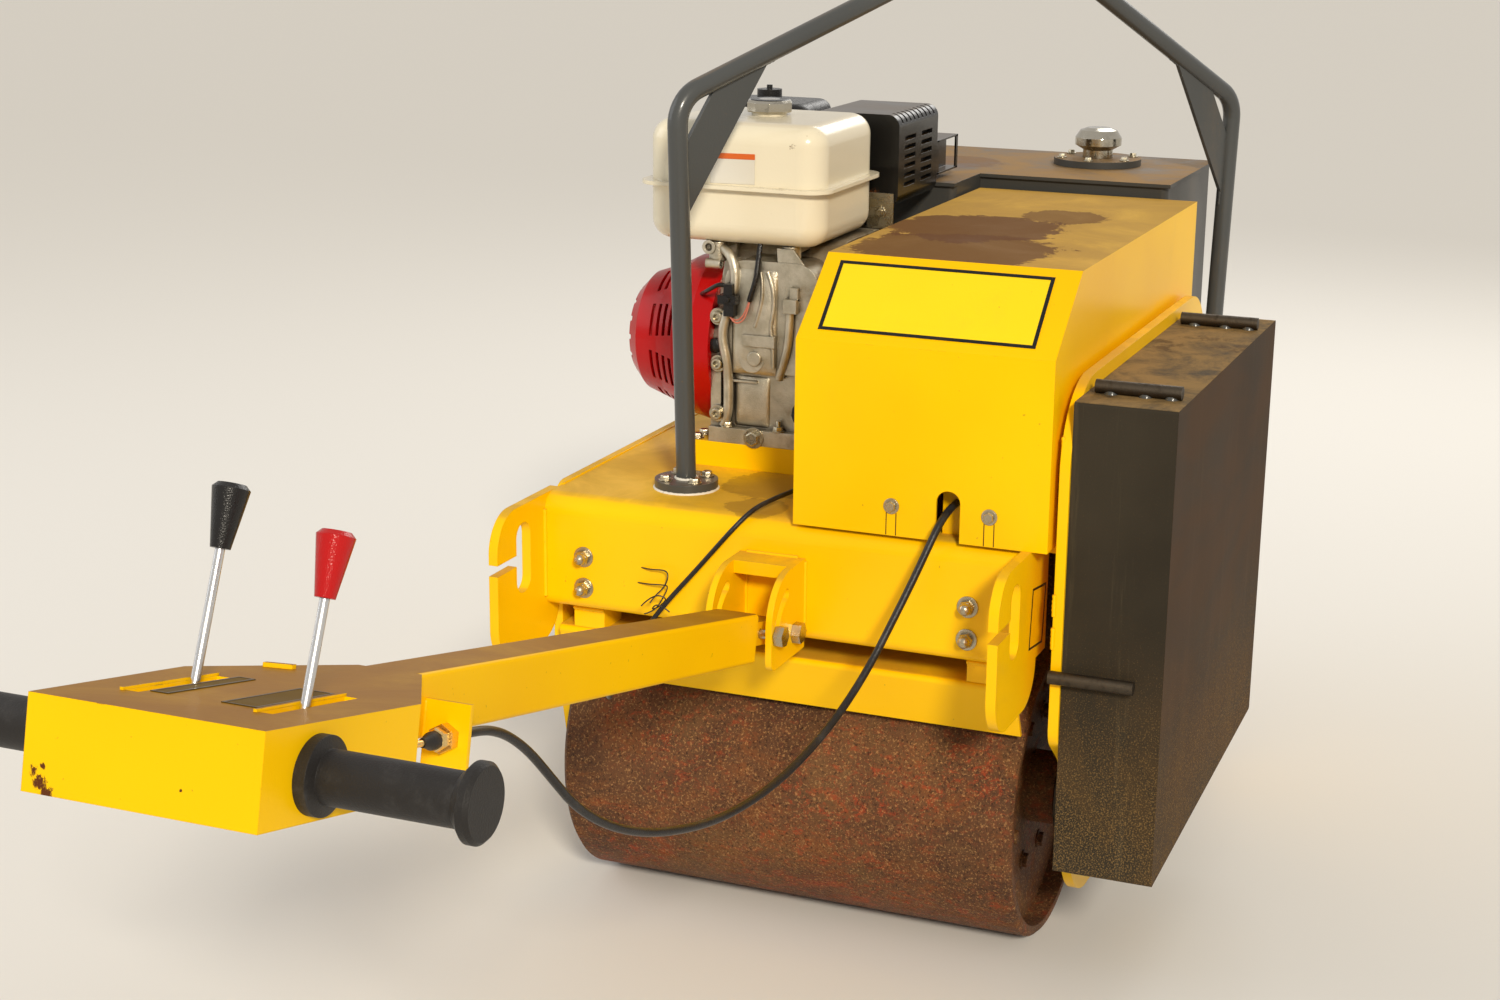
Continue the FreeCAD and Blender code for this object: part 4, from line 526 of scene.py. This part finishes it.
PIVOT = Vector((-555, 0, 441))
HANDLE_RISE = math.radians(12.9)
HANDLE_BACK = Vector((-math.cos(HANDLE_RISE), 0, math.sin(HANDLE_RISE)))
HANDLE_UP = Vector((math.sin(HANDLE_RISE), 0, math.cos(HANDLE_RISE)))
BOX_TOP = 24.8


def on_handle(along, side, height):
    """Row point of a place given along the handle, across it and above its middle line."""
    return PIVOT + HANDLE_BACK * along + Vector(LEFT) * side + HANDLE_UP * height


def on_box(*places):
    """Row points on the control box's top, each given along the handle and across it."""
    return [on_handle(along, side, BOX_TOP) for along, side in places]


def circle(count, radius, first=0.0):
    """Offsets of points spaced evenly round a circle; first is where they start, in turns."""
    angles = [2 * math.pi * (first + k / count) for k in range(count)]
    return [(radius * math.cos(a), radius * math.sin(a)) for a in angles]


ROUND_SIDES, HEXAGON, PILLOW_STEPS, BEAD_SIDES, WIRE_SIDES = 28, 6, 14, 8, 6
WIRE_RADIUS = 0.9


class Shapes:
    """Faces of one finish on one body."""

    def __init__(self):
        self.mesh = bmesh.new()

    def ring(self, points):
        return [self.mesh.verts.new(Vector(p) * MM) for p in points]

    def skin(self, one, two):
        """Faces between two rings, of which one may be a single point."""
        count = max(len(one), len(two))
        for k in range(count):
            n = (k + 1) % count
            corners = (one[k % len(one)], one[n % len(one)], two[n % len(two)], two[k % len(two)])
            self.mesh.faces.new(list(dict.fromkeys(corners)))

    def turned(self, at, axis, profile, sides=20, turn=0.0):
        """Solid of revolution; profile holds radius and height along the axis."""
        ahead = Vector(axis).normalized()
        side = ahead.orthogonal().normalized()
        other = ahead.cross(side)
        last = None
        for radius, height in profile:
            middle = Vector(at) + ahead * height
            angles = [2 * math.pi * k / sides + turn for k in range(sides if radius else 1)]
            ring = self.ring([middle + radius * (math.cos(a) * side + math.sin(a) * other) for a in angles])
            if last:
                self.skin(last, ring)
            last = ring

    def disc(self, at, axis, radius, height, edge=0.6):
        self.turned(at, axis, [(0, 0), (radius, 0), (radius, height - edge), (radius - edge, height),
                               (0, height)], ROUND_SIDES)

    def bolt(self, at, axis, radius, height, washer):
        """Chamfered hexagon head on a washer that is so many times as wide, or on none."""
        if washer:
            self.disc(at, axis, radius * washer, 1.6, 0.4)
        self.turned(at, axis, [(0, 0), (radius, 0), (radius, height + 0.6), (0.86 * radius, height + 1.8),
                               (0, height + 1.8)], HEXAGON, turn=0.3)

    def cap_nut(self, at, axis, radius=9.2):
        """Washer, hexagon and the dome that closes it."""
        self.disc(at, axis, 1.42 * radius, 2)
        self.turned(at, axis, [(0, 0), (radius, 0), (radius, 8), (0.88 * radius, 9.5), (0, 9.5)], HEXAGON)
        self.turned(at, axis, [(0, 8), (0.8 * radius, 8), (0.8 * radius, 13), (0.7 * radius, 16),
                               (0.42 * radius, 18.5), (0, 19.4)])

    def socket_bolt(self, at, axis, radius=7.5, height=7.0):
        """Washer and round head with its hollow."""
        self.disc(at, axis, 1.5 * radius, 1.4)
        self.turned(at, axis, [(0, 0), (radius, 0), (radius, height - 1), (radius - 1, height),
                               (0.55 * radius, height), (0.5 * radius, 0.4 * height), (0, 0.4 * height)], 24)

    def block(self, low, high):
        (x0, y0, z0), (x1, y1, z1) = low, high
        self.slab([(x0, y0, z0), (x1, y0, z0), (x1, y1, z0), (x0, y1, z0)], z1 - z0)

    def slab(self, corners, thickness):
        """Flat plate on a polygon, thickened to the side that its corners turn round."""
        points = [Vector(c) for c in corners]
        normal = (points[1] - points[0]).cross(points[2] - points[0]).normalized() * thickness
        low, high = self.ring(points), self.ring([p + normal for p in points])
        self.skin(low, high)
        self.mesh.faces.new(low[::-1])
        self.mesh.faces.new(high)

    def pillow(self, low, high, depth):
        """Cast swelling that stands to the rear of a rectangle, full to near its edges."""
        (x, y0, z0), (_, y1, z1) = low, high
        steps = PILLOW_STEPS
        rows = []
        for i in range(steps + 1):
            row = []
            for j in range(steps + 1):
                a, b = math.sin(math.pi * (i / steps - 0.5)), math.sin(math.pi * (j / steps - 0.5))
                rise = (1 - abs(a) ** 3) ** 0.5 * (1 - abs(b) ** 3) ** 0.5
                row.append((x - depth * rise, y0 + (a + 1) / 2 * (y1 - y0), z0 + (b + 1) / 2 * (z1 - z0)))
            rows.append(self.ring(row))
        for one, two in zip(rows, rows[1:]):
            for j in range(steps):
                self.mesh.faces.new((one[j], one[j + 1], two[j + 1], two[j]))

    def rim(self, corners, width, thickness):
        """Raised border just inside a rectangle."""
        points = [Vector(c) for c in corners]
        inner = []
        for i, point in enumerate(points):
            to_next = (points[(i + 1) % 4] - point).normalized()
            to_last = (points[i - 1] - point).normalized()
            inner.append(point + (to_next + to_last) * width)
        for i in range(4):
            n = (i + 1) % 4
            self.slab([points[i], points[n], inner[n], inner[i]], thickness)

    def tube(self, points, radius, sides=10):
        sweep(self.mesh, smooth_route(points), radius * MM, sides)

    def bead(self, points, radius, seed, step=2.6):
        """Weld bead: ripples that follow each other along the seam."""
        chance = random.Random(seed)
        path = []
        for one, two in zip(points, points[1:]):
            one, two = Vector(one), Vector(two)
            count = max(2, round((two - one).length / step))
            path += [one.lerp(two, i / count) for i in range(count)]
        path.append(Vector(points[-1]))
        swell = [1.0 if i % 2 else 0.8 for i in range(len(path))]
        radii = [radius * MM * share * chance.uniform(0.88, 1.12) for share in swell]
        sweep(self.mesh, [p * MM for p in path], radii, BEAD_SIDES)

    def add(self, name, material, body="frame", slot=None, smooth=35):
        return finish_mesh(name, self.mesh, material, body, smooth)


# places on the solids that the small parts sit on

DECK_END, DECK_HALF, DECK_TOP, SIDE_PLATE = 521, 306, 564, 12
BRIDGE_FACE, HOOK_FACE = -346, -318
AXLE_X, AXLE_Z, DRUM_HALF = 300, 190, 274
BEARING_FACE, DRIVE_FACE = DECK_HALF + SIDE_PLATE + 9, -357
SCRAPER_X, SCRAPER_Z = 493.5, 412
FOOT_X, FOOT_Y, FOOT_TOP = -419, 158, DECK_TOP + 12
FLANGE_X, FLANGE_Y, FLANGE_TOP = 400, -145, 903
HOUSING_SCREWS = (-148, -267)


def frame_bolts():
    """Cap nuts of the cross beams, housing screws, nuts of the bearings and feet, the tank's bolts."""
    nuts = Shapes()
    for x, axis in ((-DECK_END, REAR), (DECK_END, FRONT)):
        for y in (252, -245):
            for z in (449, 489):
                nuts.cap_nut((x, y, z), axis)
    for y in HOUSING_SCREWS:
        nuts.bolt((-DECK_END, y, 600), REAR, 6.4, 4.5, 1.5)
    for x, y in circle(4, 28, 1 / 8):
        nuts.bolt((FOOT_X + x, FOOT_Y + y, FOOT_TOP), UP, 6.5, 5, 1.4)
    for middle in (-AXLE_X, AXLE_X):
        for x, z in circle(6, 52, 1 / 12):
            nuts.bolt((middle + x, BEARING_FACE, AXLE_Z + z), LEFT, 6, 5, 1.3)
    cover = 7
    nuts.disc((AXLE_X, DRIVE_FACE, AXLE_Z), RIGHT, 40, cover, 2)
    for x, z in circle(3, 25, 1 / 4):
        nuts.bolt((AXLE_X + x, DRIVE_FACE - cover, AXLE_Z + z), RIGHT, 6, 5, 1.3)
    for x, y in circle(6, 54):
        nuts.bolt((FLANGE_X + x, FLANGE_Y + y, FLANGE_TOP), UP, 5, 4, 1.4)
    nuts.bolt((515, -120, 592), FRONT, 12, 8, 1.5)
    nuts.add("frame_nuts", "zinc_steel")


def frame_welds():
    """Painted weld seams of the clevis, the deck's corners and edge, the scrapers and the bridge."""
    seams = Shapes()
    rear = -DECK_END - 1
    for y in (-42, -34, 34, 42):
        seams.bead([(rear, y, 436), (rear, y, 520)], 3.2, y)
    seams.bead([(rear, -33, 523), (rear, 33, 523)], 3.0, 5)
    for end in (-1, 1):
        for side in (-1, 1):
            x, y = end * (DECK_END + 1), side * (DECK_HALF - 1)
            seams.bead([(x, y, 432), (x, y, 545)], 3.4, end + side)
    for end in (-1, 1):
        seams.bead([(end * 470, DECK_HALF, DECK_TOP), (-end * 10, DECK_HALF, DECK_TOP)], 2.4, end)
        for y in (-280, 238):
            seams.bead([(end * SCRAPER_X, y, SCRAPER_Z), (end * SCRAPER_X, y + 42, SCRAPER_Z)], 2.8, y)
    for z in (449, 489):
        seams.bead([(-DECK_END + 6, BRIDGE_FACE, z), (-DECK_END + 6, BRIDGE_FACE, z + 26)], 2.6, z)
    seams.bead([(-506, BRIDGE_FACE, z) for z in (574, 640, 700)], 2.4, 9)
    seams.add("frame_welds", "yellow_paint", smooth=60)


def handle_welds():
    """Seams of the control box's front flanges and of the beam's eye."""
    seams = Shapes()
    for y in (-28, 28):
        seams.bead([on_handle(862, y, -30), on_handle(862, y, 1)], 2.6, y)
    for height in (-14, 14):
        seams.bead([on_handle(85, -21, height), on_handle(85, 21, height)], 2.8, height)
    seams.add("handle_welds", "yellow_paint", "handle", smooth=60)


def hoop_welds():
    """Seams of the hoop's straps, weld spots of the guard's bars and the collar of the front foot."""
    seams = Shapes()
    # corner of the hoop, shoulder that its slanting bar runs to and foot of its post
    straps = (((-432.9, 166.0, 1048), (-25, -69.4, 1215), (-419, 158, 570)),
              ((432.9, -333.5, 994), (92, -136.8, 1215), (419, -325.5, 565)))
    bar_radius, strap_start, strap_end = 11.5, 70, 153
    for row in straps:
        corner, shoulder, foot = (Vector(place) for place in row)
        rise, run = (foot - corner).normalized(), (shoulder - corner).normalized()
        for one, other in ((rise, run), (run, rise)):
            offset = (other - one * one.dot(other)).normalized() * bar_radius
            seams.bead([corner + one * strap_start + offset, corner + one * strap_end + offset],
                       2.6, round(corner.z))
    for x in (-450, 0):
        for y in (-455, -425, -385):
            seams.turned((x, y, 743), UP, [(0, -3), (9, -2), (8, 2), (5, 6), (0, 7)], 12)
    seams.turned((419, -325.5, 560), UP, [(0, 3), (19, 4), (16, 8), (13, 10), (0, 10)], 20)
    seams.add("hoop_welds", "hoop_paint", slot="grey_paint", smooth=60)


def foot_sealant():
    """Pale sealant squeezed out beside the hoop's rear foot and round its post."""
    ring = Shapes()
    outline = [(FOOT_X + x, FOOT_Y + y, DECK_TOP + 0.5) for x, y in circle(36, 40)]
    ring.bead(outline[8:31], 2.2, 3, 4)
    collar = [(FOOT_X + x, FOOT_Y + y, FOOT_TOP + 0.5) for x, y in circle(18, 13.5)]
    ring.bead(collar + collar[:1], 2.2, 4, 3)
    ring.add("foot_sealant", "sealant", slot="cream_paint", smooth=60)


def drum_fittings():
    """Bolt circle and filler plug on each end of the drums."""
    for end, middle in (("rear", -AXLE_X), ("front", AXLE_X)):
        fittings = Shapes()
        for y, axis in ((-DRUM_HALF, RIGHT), (DRUM_HALF, LEFT)):
            for x, z in circle(8, 96, 1 / 16):
                fittings.bolt((middle + x, y, AXLE_Z + z), axis, 9, 6, 1.4)
            plug_at = (middle + 40, y, AXLE_Z + 132)
            fittings.disc(plug_at, axis, 17, 4, 1)
            fittings.turned(plug_at, axis, [(0, 0), (11, 4), (11, 11), (9, 12), (0, 12)], HEXAGON)
        fittings.add("drum_%s_fittings" % end, "rusty_nut", "drum_%s_body" % end, "drum_steel")


# blank plates

def hook_plate():
    """Strip behind the right rear hook, and the border of a blank plate on the hook."""
    backing = Shapes()
    backing.block((-484, HOOK_FACE, 424), (-440, 1 - DECK_HALF, 552))
    backing.add("hook_backing", "yellow_paint")
    border = Shapes()
    border.rim([(x, HOOK_FACE, z) for x, z in ((-514, 443), (-456, 436), (-448, 508), (-506, 516))],
               2.6, 0.5)
    border.add("hook_plate_border", "black_paint")


def lever_plates():
    """A narrow and a wide plate beside the levers, each with its border."""
    for name, rear, front, right, left in (("left", 1150, 1032, 34, 50), ("right", 1148, 1040, -44, -12)):
        corners = on_box((rear, right), (front, right), (front, left), (rear, left))
        card = Shapes()
        card.slab(corners, 0.8)
        card.add("lever_plate_" + name, "plate_olive", "handle", "yellow_paint")
        border = Shapes()
        border.rim([p + HANDLE_UP * 0.6 for p in corners], 2.2, 0.5)
        border.add("lever_plate_border_" + name, "dark_border_and_gap_shade", "handle", "black_paint")


def housing_plate():
    """The large plate on the drive housing's slope, with its border."""
    corners = [Vector(c) for c in ((-427, -308, 866.2), (-426, -45, 867),
                                   (-509, -48, 799), (-510, -310, 798.2))]
    outwards = Vector((-0.6337, 0, 0.7736))
    plate = Shapes()
    plate.slab(corners, 1.0)
    plate.add("housing_plate", "plate_yellow", slot="yellow_paint")
    border = Shapes()
    border.rim([c + outwards * 0.9 for c in corners], 4.6, 0.5)
    border.add("housing_plate_border", "black_paint")


def tank_plate():
    """Pale plate with a band along its top on the fuel tank's end."""
    x, left, right = -315, 172, 112
    label = Shapes()
    label.slab([(x, left, 933), (x, left, 964), (x, right, 965), (x, right, 934)], -0.5)
    label.add("tank_plate", "sealant", slot="cream_paint")
    band = Shapes()
    band.slab([(x, left, 964), (x, left, 971), (x, right, 972), (x, right, 965)], -0.6)
    band.add("tank_plate_band", "orange_band", slot="red_paint")


def housing_gap_shade():
    """Painted shade: thin dark strips that stand for the gaps on both sides of each tab that the housing's
    screws hold.
    """
    seams = Shapes()
    for y in HOUSING_SCREWS:
        for side in (-6, 6):
            seams.block((-DECK_END - 0.4, y + side - 0.5, 565), (-DECK_END + 0.2, y + side + 0.5, 592))
    seams.add("housing_gap_shade", "dark_border_and_gap_shade", slot="black_paint")


# engine, whose cylinder leans; on_head measures from the cylinder's far end

CYLINDER_TILT = math.radians(25)
CYLINDER_AXIS = Vector((math.cos(CYLINDER_TILT), 0, math.sin(CYLINDER_TILT)))
CYLINDER_UP = Vector((-math.sin(CYLINDER_TILT), 0, math.cos(CYLINDER_TILT)))
CYLINDER_END = Vector((-105, 98, 740)) + CYLINDER_AXIS * 130
ROCKER_FLANGE, ROCKER_TOP = 8, 28
CASE_FACE, CASE_FOOT = -300, 617
BOWL_FOOT = (-38, 186, 784)


def on_head(along, across, upward):
    return CYLINDER_END + CYLINDER_AXIS * along + Vector(LEFT) * across + CYLINDER_UP * upward


def rocker_cover(castings):
    for start, half, thickness in ((0, 58, ROCKER_FLANGE), (ROCKER_FLANGE, 48, ROCKER_TOP - ROCKER_FLANGE)):
        castings.slab([on_head(start, half * a, half * b) for a, b in QUARTERS], thickness)
    castings.turned(on_head(ROCKER_TOP, 0, 0), CYLINDER_AXIS, [(0, 0), (30, 0), (26, 4), (0, 5)], 32)


def carburettor(castings):
    castings.block((-70, 162, 818), (-8, 206, 878))
    castings.turned(BOWL_FOOT, UP, [(0, 0), (16, 0), (22, 5), (22, 34), (0, 34)], 28)
    castings.turned((-38, 176, 878), UP, [(0, 0), (21, 0), (21, 19), (0, 19)], 28)


def case_castings(castings):
    """Swellings, ribs, the bent arm, pipes and bosses on the case's rear face."""
    castings.pillow((CASE_FACE, 84, 689), (CASE_FACE, 147, 826), 8)
    castings.pillow((-292, 96, 618), (-292, 146, 686), 6)
    castings.block((-310.5, 85, 727), (CASE_FACE, 129, 742))
    castings.disc((-307, 113, 711), REAR, 9.5, 3, 0.8)
    castings.block((-300.5, 112, 677), (-292, 148, 680))
    castings.tube([(-299, 158, 618), (-301, 151, 633), (-301, 151, 669), (-301, 152, 689), (-304, 153, 709),
                   (-305, 158, 729), (-305, 158, 749), (-305, 149, 775), (-304, 140, 806), (-303, 143, 829),
                   (-297, 154, 845), (-289, 168, 849)], 6.5, 14)
    castings.tube([(-305, 97, 824), (-307, 90, 810), (-307, 87, 790), (-307, 88, 771), (-307, 92, 752),
                   (-306, 88, 735), (-305, 88, 700)], 2.6)
    castings.tube([(-305, 106, 823), (-307, 102, 803), (-307, 105, 777), (-307, 113, 752)], 2.2)
    castings.tube([(-305, 66, 775), (-305, 67, 736), (-303, 75, 706), (-299, 82, 686)], 5.5, 14)
    castings.block((-313, 55, 774), (CASE_FACE, 73, 792))
    castings.block((-308, 55, 790), (CASE_FACE, 66, 806))
    castings.slab([(CASE_FACE, y, z) for y, z in ((87, 854), (64, 853), (49, 833), (47, 824), (55, 796),
                                                  (65, 807), (84, 809))], 3)
    castings.turned((-299, 180, 849), REAR, [(0, -14), (9, -14), (9, 2), (5, 2), (4.5, -3), (0, -3)], 24)
    castings.turned((-297, 184, 828), RIGHT, [(0, 0), (6.5, 0), (6.5, 20), (4.2, 20), (4, 14), (0, 14)], 20)


def engine_castings():
    castings = Shapes()
    rocker_cover(castings)
    carburettor(castings)
    case_castings(castings)
    castings.add("engine_castings", "cast_aluminium")


def engine_bolts():
    """Bolts and studs of the cover panel, the drain, the ears, the head, the carburettor and the rails."""
    bolts = Shapes()
    for z in (634, 700, 761):
        bolts.socket_bolt((-303.5, 165, z), REAR)
    for y in (153, 82):
        bolts.bolt((CASE_FACE, y, CASE_FOOT), UP, 6.5, 5, 1.3)
        bolts.turned((CASE_FACE, y, CASE_FOOT), UP, [(0, 0), (3.2, 0), (3.2, 13), (2.6, 14), (0, 14)], 16)
    bolts.bolt((-307, 113, 607), REAR, 9.5, 7, 1.45)
    bolts.bolt((-307, 42, 607), REAR, 6.5, 5, 1.4)
    for y in (172, 72):
        bolts.bolt((-287, y, 832), DOWN, 7.5, 7, 1.4)
    for a, b in QUARTERS:
        bolts.bolt(on_head(ROCKER_TOP, 40 * a, 40 * b), CYLINDER_AXIS, 5.5, 4, 1.4)
        bolts.bolt(on_head(ROCKER_FLANGE, 53 * a, 53 * b), CYLINDER_AXIS, 6, 5, 0)
    bolts.bolt((-70, 184, 862), REAR, 5.5, 4, 1.4)
    bolts.bolt(BOWL_FOOT, DOWN, 6, 4, 1.3)
    bolts.bolt((-83, 26, 874), REAR, 6, 4, 1.4)
    for x in (-297, -274, -130, -106):
        for y in (3, 196):
            bolts.bolt((x, y, 597), UP, 6.5, 5, 1.4)
    bolts.add("engine_bolts", "zinc_steel")


def muffler_bracket():
    """Bent strip that carries the muffler: an upright, a shelf and a foot."""
    bracket = Shapes()
    rear, front, right, left, shelf, top, thickness = -83, -58, 8, 44, 850, 900, 3
    bracket.slab([(rear, right, shelf), (rear, left, shelf), (rear, left, top), (rear, right, top)],
                 thickness)
    bracket.slab([(rear, right, shelf), (front, right, shelf), (front, left, shelf), (rear, left, shelf)],
                 thickness)
    bracket.block((front - thickness, 24, 822), (front, left, shelf + 2))
    bracket.add("muffler_bracket", "zinc_steel")


def plug_lead(rubber):
    """Ignition lead from the starter cover to the boot on the plug."""
    rubber.tube([(-2, 22, 776), (6, 10, 800), (-30, 8, 846), (-78, 14, 842), (-90, 60, 846), (-84, 120, 850),
                 (-92, 172, 830), (-108, 188, 806), (-132, 192, 784)], 3.5)
    rubber.turned((4, 36, 770), (0.2, -1, 0.15), [(0, -2), (9, 0), (9, 12), (7, 24), (4, 27), (0, 27)], 16)


def fuel_hose(rubber):
    rubber.tube([(-150, 200, 858), (-120, 206, 838), (-92, 204, 832), (-70, 192, 836)], 4.2)


def stepped_block(rubber):
    """Stepped block on the case's face with its button, and the two leads that leave it."""
    rubber.tube([(-313, 150, 803), (-316, 158, 806), (-313, 170, 799), (-304, 184, 791),
                 (-282, 198, 784)], 2.8)
    rubber.block((-318, 140, 790), (CASE_FACE, 152, 806))
    rubber.block((-321, 134, 781), (CASE_FACE, 159, 792))
    rubber.block((-318, 138, 765), (CASE_FACE, 152, 782))
    rubber.disc((-321, 146, 787), REAR, 4, 3, 0.5)
    rubber.tube([(-311, 119, 786), (-313, 117, 792), (-313, 112, 806), (-308, 110, 826),
                 (-296, 111, 858)], 3.4)


def starter_grip(rubber):
    rubber.turned((-144.6, 230, 785.9), (0.577, 0.35, 0.738),
                  [(0, -4), (12, -2), (12, 2), (7, 5), (7, 10), (20, 14), (22, 19), (20, 24), (12, 26),
                   (0, 26)], 20)


def choke_lever(rubber):
    rubber.turned((-58, 206, 866), LEFT, [(0, 0), (4, 0), (4, 10), (0, 10)], 12)
    rubber.block((-66, 212, 846), (-54, 218, 876))


def case_plugs(rubber):
    """Round plug in the cover panel and the oil filler's ribbed cap."""
    rubber.turned((CASE_FACE, 171, 722), REAR, [(0, -3), (10, -3), (9.5, 2), (6, 4.5), (0, 5)], 24)
    rubber.turned((-292, 40, 640), (-1, 0, 0.35),
                  [(0, 0), (15, 0), (15, 14), (18, 16), (18, 26), (0, 26)], 12)


def engine_rubber():
    rubber = Shapes()
    for build in (plug_lead, fuel_hose, stepped_block, starter_grip, choke_lever, case_plugs):
        build(rubber)
    rubber.add("engine_rubber", "black_plastic")


def engine_wires():
    """Two thin wires that hang between the stepped block and its lead."""
    wires = Shapes()
    wires.tube([(-312, 148, 768), (-314, 141, 760), (-314, 131, 761), (-313, 124, 771),
                (-312, 119, 786)], 1.1, WIRE_SIDES)
    wires.tube([(-314, 146, 768), (-317, 139, 757), (-316, 128, 758), (-314, 121, 770),
                (-312, 118, 788)], 1.1, WIRE_SIDES)
    wires.add("engine_wires", "red_wire", slot="red_plastic")


def engine_rods():
    """Governor's rod and the plug's terminal."""
    rods = Shapes()
    rods.tube([(-50, 202, 828), (-60, 214, 832), (-118, 213, 838), (-168, 204, 836), (-190, 195, 815)], 1.6)
    rods.tube([(-2, 30, 773), (0, 34, 772)], 5)
    rods.add("engine_rods", "zinc_steel")


def fuel_cap_shell():
    """Pressed bright cap with flats round it."""
    shell = Shapes()
    shell.turned((-200, 139, 1013), UP, [(0, 0), (29, 0), (30, 1.5), (30, 12), (27.5, 15), (0, 17)], 10,
                 turn=0.2)
    shell.add("fuel_cap_shell", "chrome_cap", smooth=15)


def exhaust_outlet():
    """Sheet deflector in front of the muffler, open at its end."""
    sheet = Shapes()
    rear, front, right, left, low, high, wall = 85, 196, 8, 64, 903, 950, 2.5
    for z in (low, high - 2):
        sheet.block((rear, right, z), (front, left, z + wall))
    sheet.block((rear, right, low), (110, right + wall, high))
    sheet.block((188, right, low), (front, right + wall, high))
    sheet.block((rear, left - wall, low), (front, left, high))
    sheet.block((rear, 24, low), (192, 24 + wall, high))
    sheet.turned((rear, 36, 926), FRONT, [(0, 0), (15, 0), (15, 30), (12.5, 30), (12.5, 2), (0, 2)], 24)
    sheet.add("exhaust_deflector", "black_paint")


# control box and cables

def gate_lips():
    """Raised lips beside the lever gates and the small one in front of them."""
    lips = Shapes()
    for side in (-53, 65):
        lips.slab(on_box((1163, side), (1163, side + 3), (1037, side + 3), (1037, side)), -2.6)
    lips.slab(on_box((964, 72), (958, 72), (949, 49), (955, 49)), -4)
    lips.add("gate_lips", "yellow_box", "handle", "yellow_paint")


def gland_parts():
    """Plated nut and rubber boot where each cable leaves its gland."""
    boots, rings = Shapes(), Shapes()
    for side in (-51, 51):
        rings.turned(on_handle(874, side, -28), HANDLE_BACK,
                     [(0, 0), (10.5, 0), (10.5, 8), (9, 10), (0, 10)], HEXAGON, turn=0.4)
        boots.turned(on_handle(883, side, -28), HANDLE_BACK,
                     [(0, 0), (8, 0), (8, 8), (6, 13), (4, 22), (0, 22)], 18)
    rings.add("gland_rings", "gland_plating", "handle", "zinc_steel")
    boots.add("gland_boots", "black_rubber", "handle")


def tie_wire():
    """Soft wire, twisted round the throttle cable, that ties it to the frame's end."""
    wire = Shapes()
    upper = [(-520.6, 173, 485), (-528, 160, 486), (-530, 136, 489), (-534, 131, 482), (-536, 136, 468),
             (-541, 146, 458), (-547, 150, 450)]
    lower = [(-520.6, 178, 465), (-528, 160, 467), (-531, 138, 470), (-536, 130, 470), (-541, 136, 455),
             (-546, 144, 440), (-550, 156, 436)]
    loop = [(-542, 126, 440), (-546, 140, 452), (-546, 150, 440), (-540, 138, 446), (-543, 128, 458),
            (-547, 146, 462), (-551, 160, 446)]
    for strand in (upper, lower, loop):
        wire.tube(strand, WIRE_RADIUS, WIRE_SIDES)
    wire.add("tie_wire", "dark_steel")


def small_parts():
    for build in (frame_bolts, frame_welds, handle_welds, hoop_welds, foot_sealant, drum_fittings,
                  hook_plate, lever_plates, housing_plate, tank_plate, housing_gap_shade, engine_castings,
                  engine_bolts, muffler_bracket, engine_rubber, engine_wires, engine_rods, fuel_cap_shell,
                  exhaust_outlet, gate_lips, gland_parts, tie_wire):
        build()


# stage: pale floor, soft light

FLOOR_SIZE, FLOOR_COLOUR = 60, srgb(230, 228, 224)
SKY_COLOUR = (1.0, 0.97, 0.93, 1.0)
SKY_LIGHT, SKY_SEEN = 0.42, 0.66
LAMPS_AIM = Vector((-0.3, 0, 0.5))
# name, kind, place, width in metres or the sun's in degrees, power and colour
LAMPS = [("key", "SUN", (-4.1, -2.3, 2.9), 9, 2.7, (1.0, 0.91, 0.76)),
         ("fill", "AREA", (-1.5, 4.2, 2.6), 3.0, 40, (0.92, 0.95, 1.0)),
         ("back", "AREA", (3.6, -0.5, 3.2), 2.2, 55, (1.0, 0.98, 0.94))]


def add_floor():
    bpy.ops.mesh.primitive_plane_add(size=FLOOR_SIZE, location=(0, 0, 0))
    floor = bpy.context.object
    floor.name = "floor"
    m = Shader("floor", roughness=0.9)
    m.colour(FLOOR_COLOUR)
    floor.data.materials.append(m.material)


def add_sky():
    """Soft light from all round, brighter where the camera and reflections look at it."""
    world = bpy.data.worlds.new("world")
    bpy.context.scene.world = world
    world.use_nodes = True
    tree = world.node_tree
    sky = tree.nodes["Background"]
    sky.inputs["Color"].default_value = SKY_COLOUR
    rays = tree.nodes.new("ShaderNodeLightPath")
    seen = rays.outputs["Is Camera Ray"]
    for kind in ("Is Glossy Ray", "Is Transmission Ray"):
        either = tree.nodes.new("ShaderNodeMath")
        either.operation = "MAXIMUM"
        tree.links.new(seen, either.inputs[0])
        tree.links.new(rays.outputs[kind], either.inputs[1])
        seen = either.outputs[0]
    level = tree.nodes.new("ShaderNodeMapRange")
    tree.links.new(seen, level.inputs["Value"])
    level.inputs["To Min"].default_value = SKY_LIGHT
    level.inputs["To Max"].default_value = SKY_SEEN
    tree.links.new(level.outputs["Result"], sky.inputs["Strength"])


def add_lamps():
    for name, kind, at, width, power, tint in LAMPS:
        lamp = bpy.data.lights.new(name, kind)
        if kind == "SUN":
            lamp.angle = math.radians(width)
        else:
            lamp.size = width
        lamp.energy = power
        lamp.color = tint
        thing = bpy.data.objects.new(name, lamp)
        thing.location = at
        thing.rotation_euler = (LAMPS_AIM - Vector(at)).to_track_quat("-Z", "Y").to_euler()
        bpy.context.scene.collection.objects.link(thing)


add_camera()
dress_nodes()
cables()
small_parts()
add_floor()
add_sky()
add_lamps()
bpy.context.scene.view_settings.view_transform = "Standard"
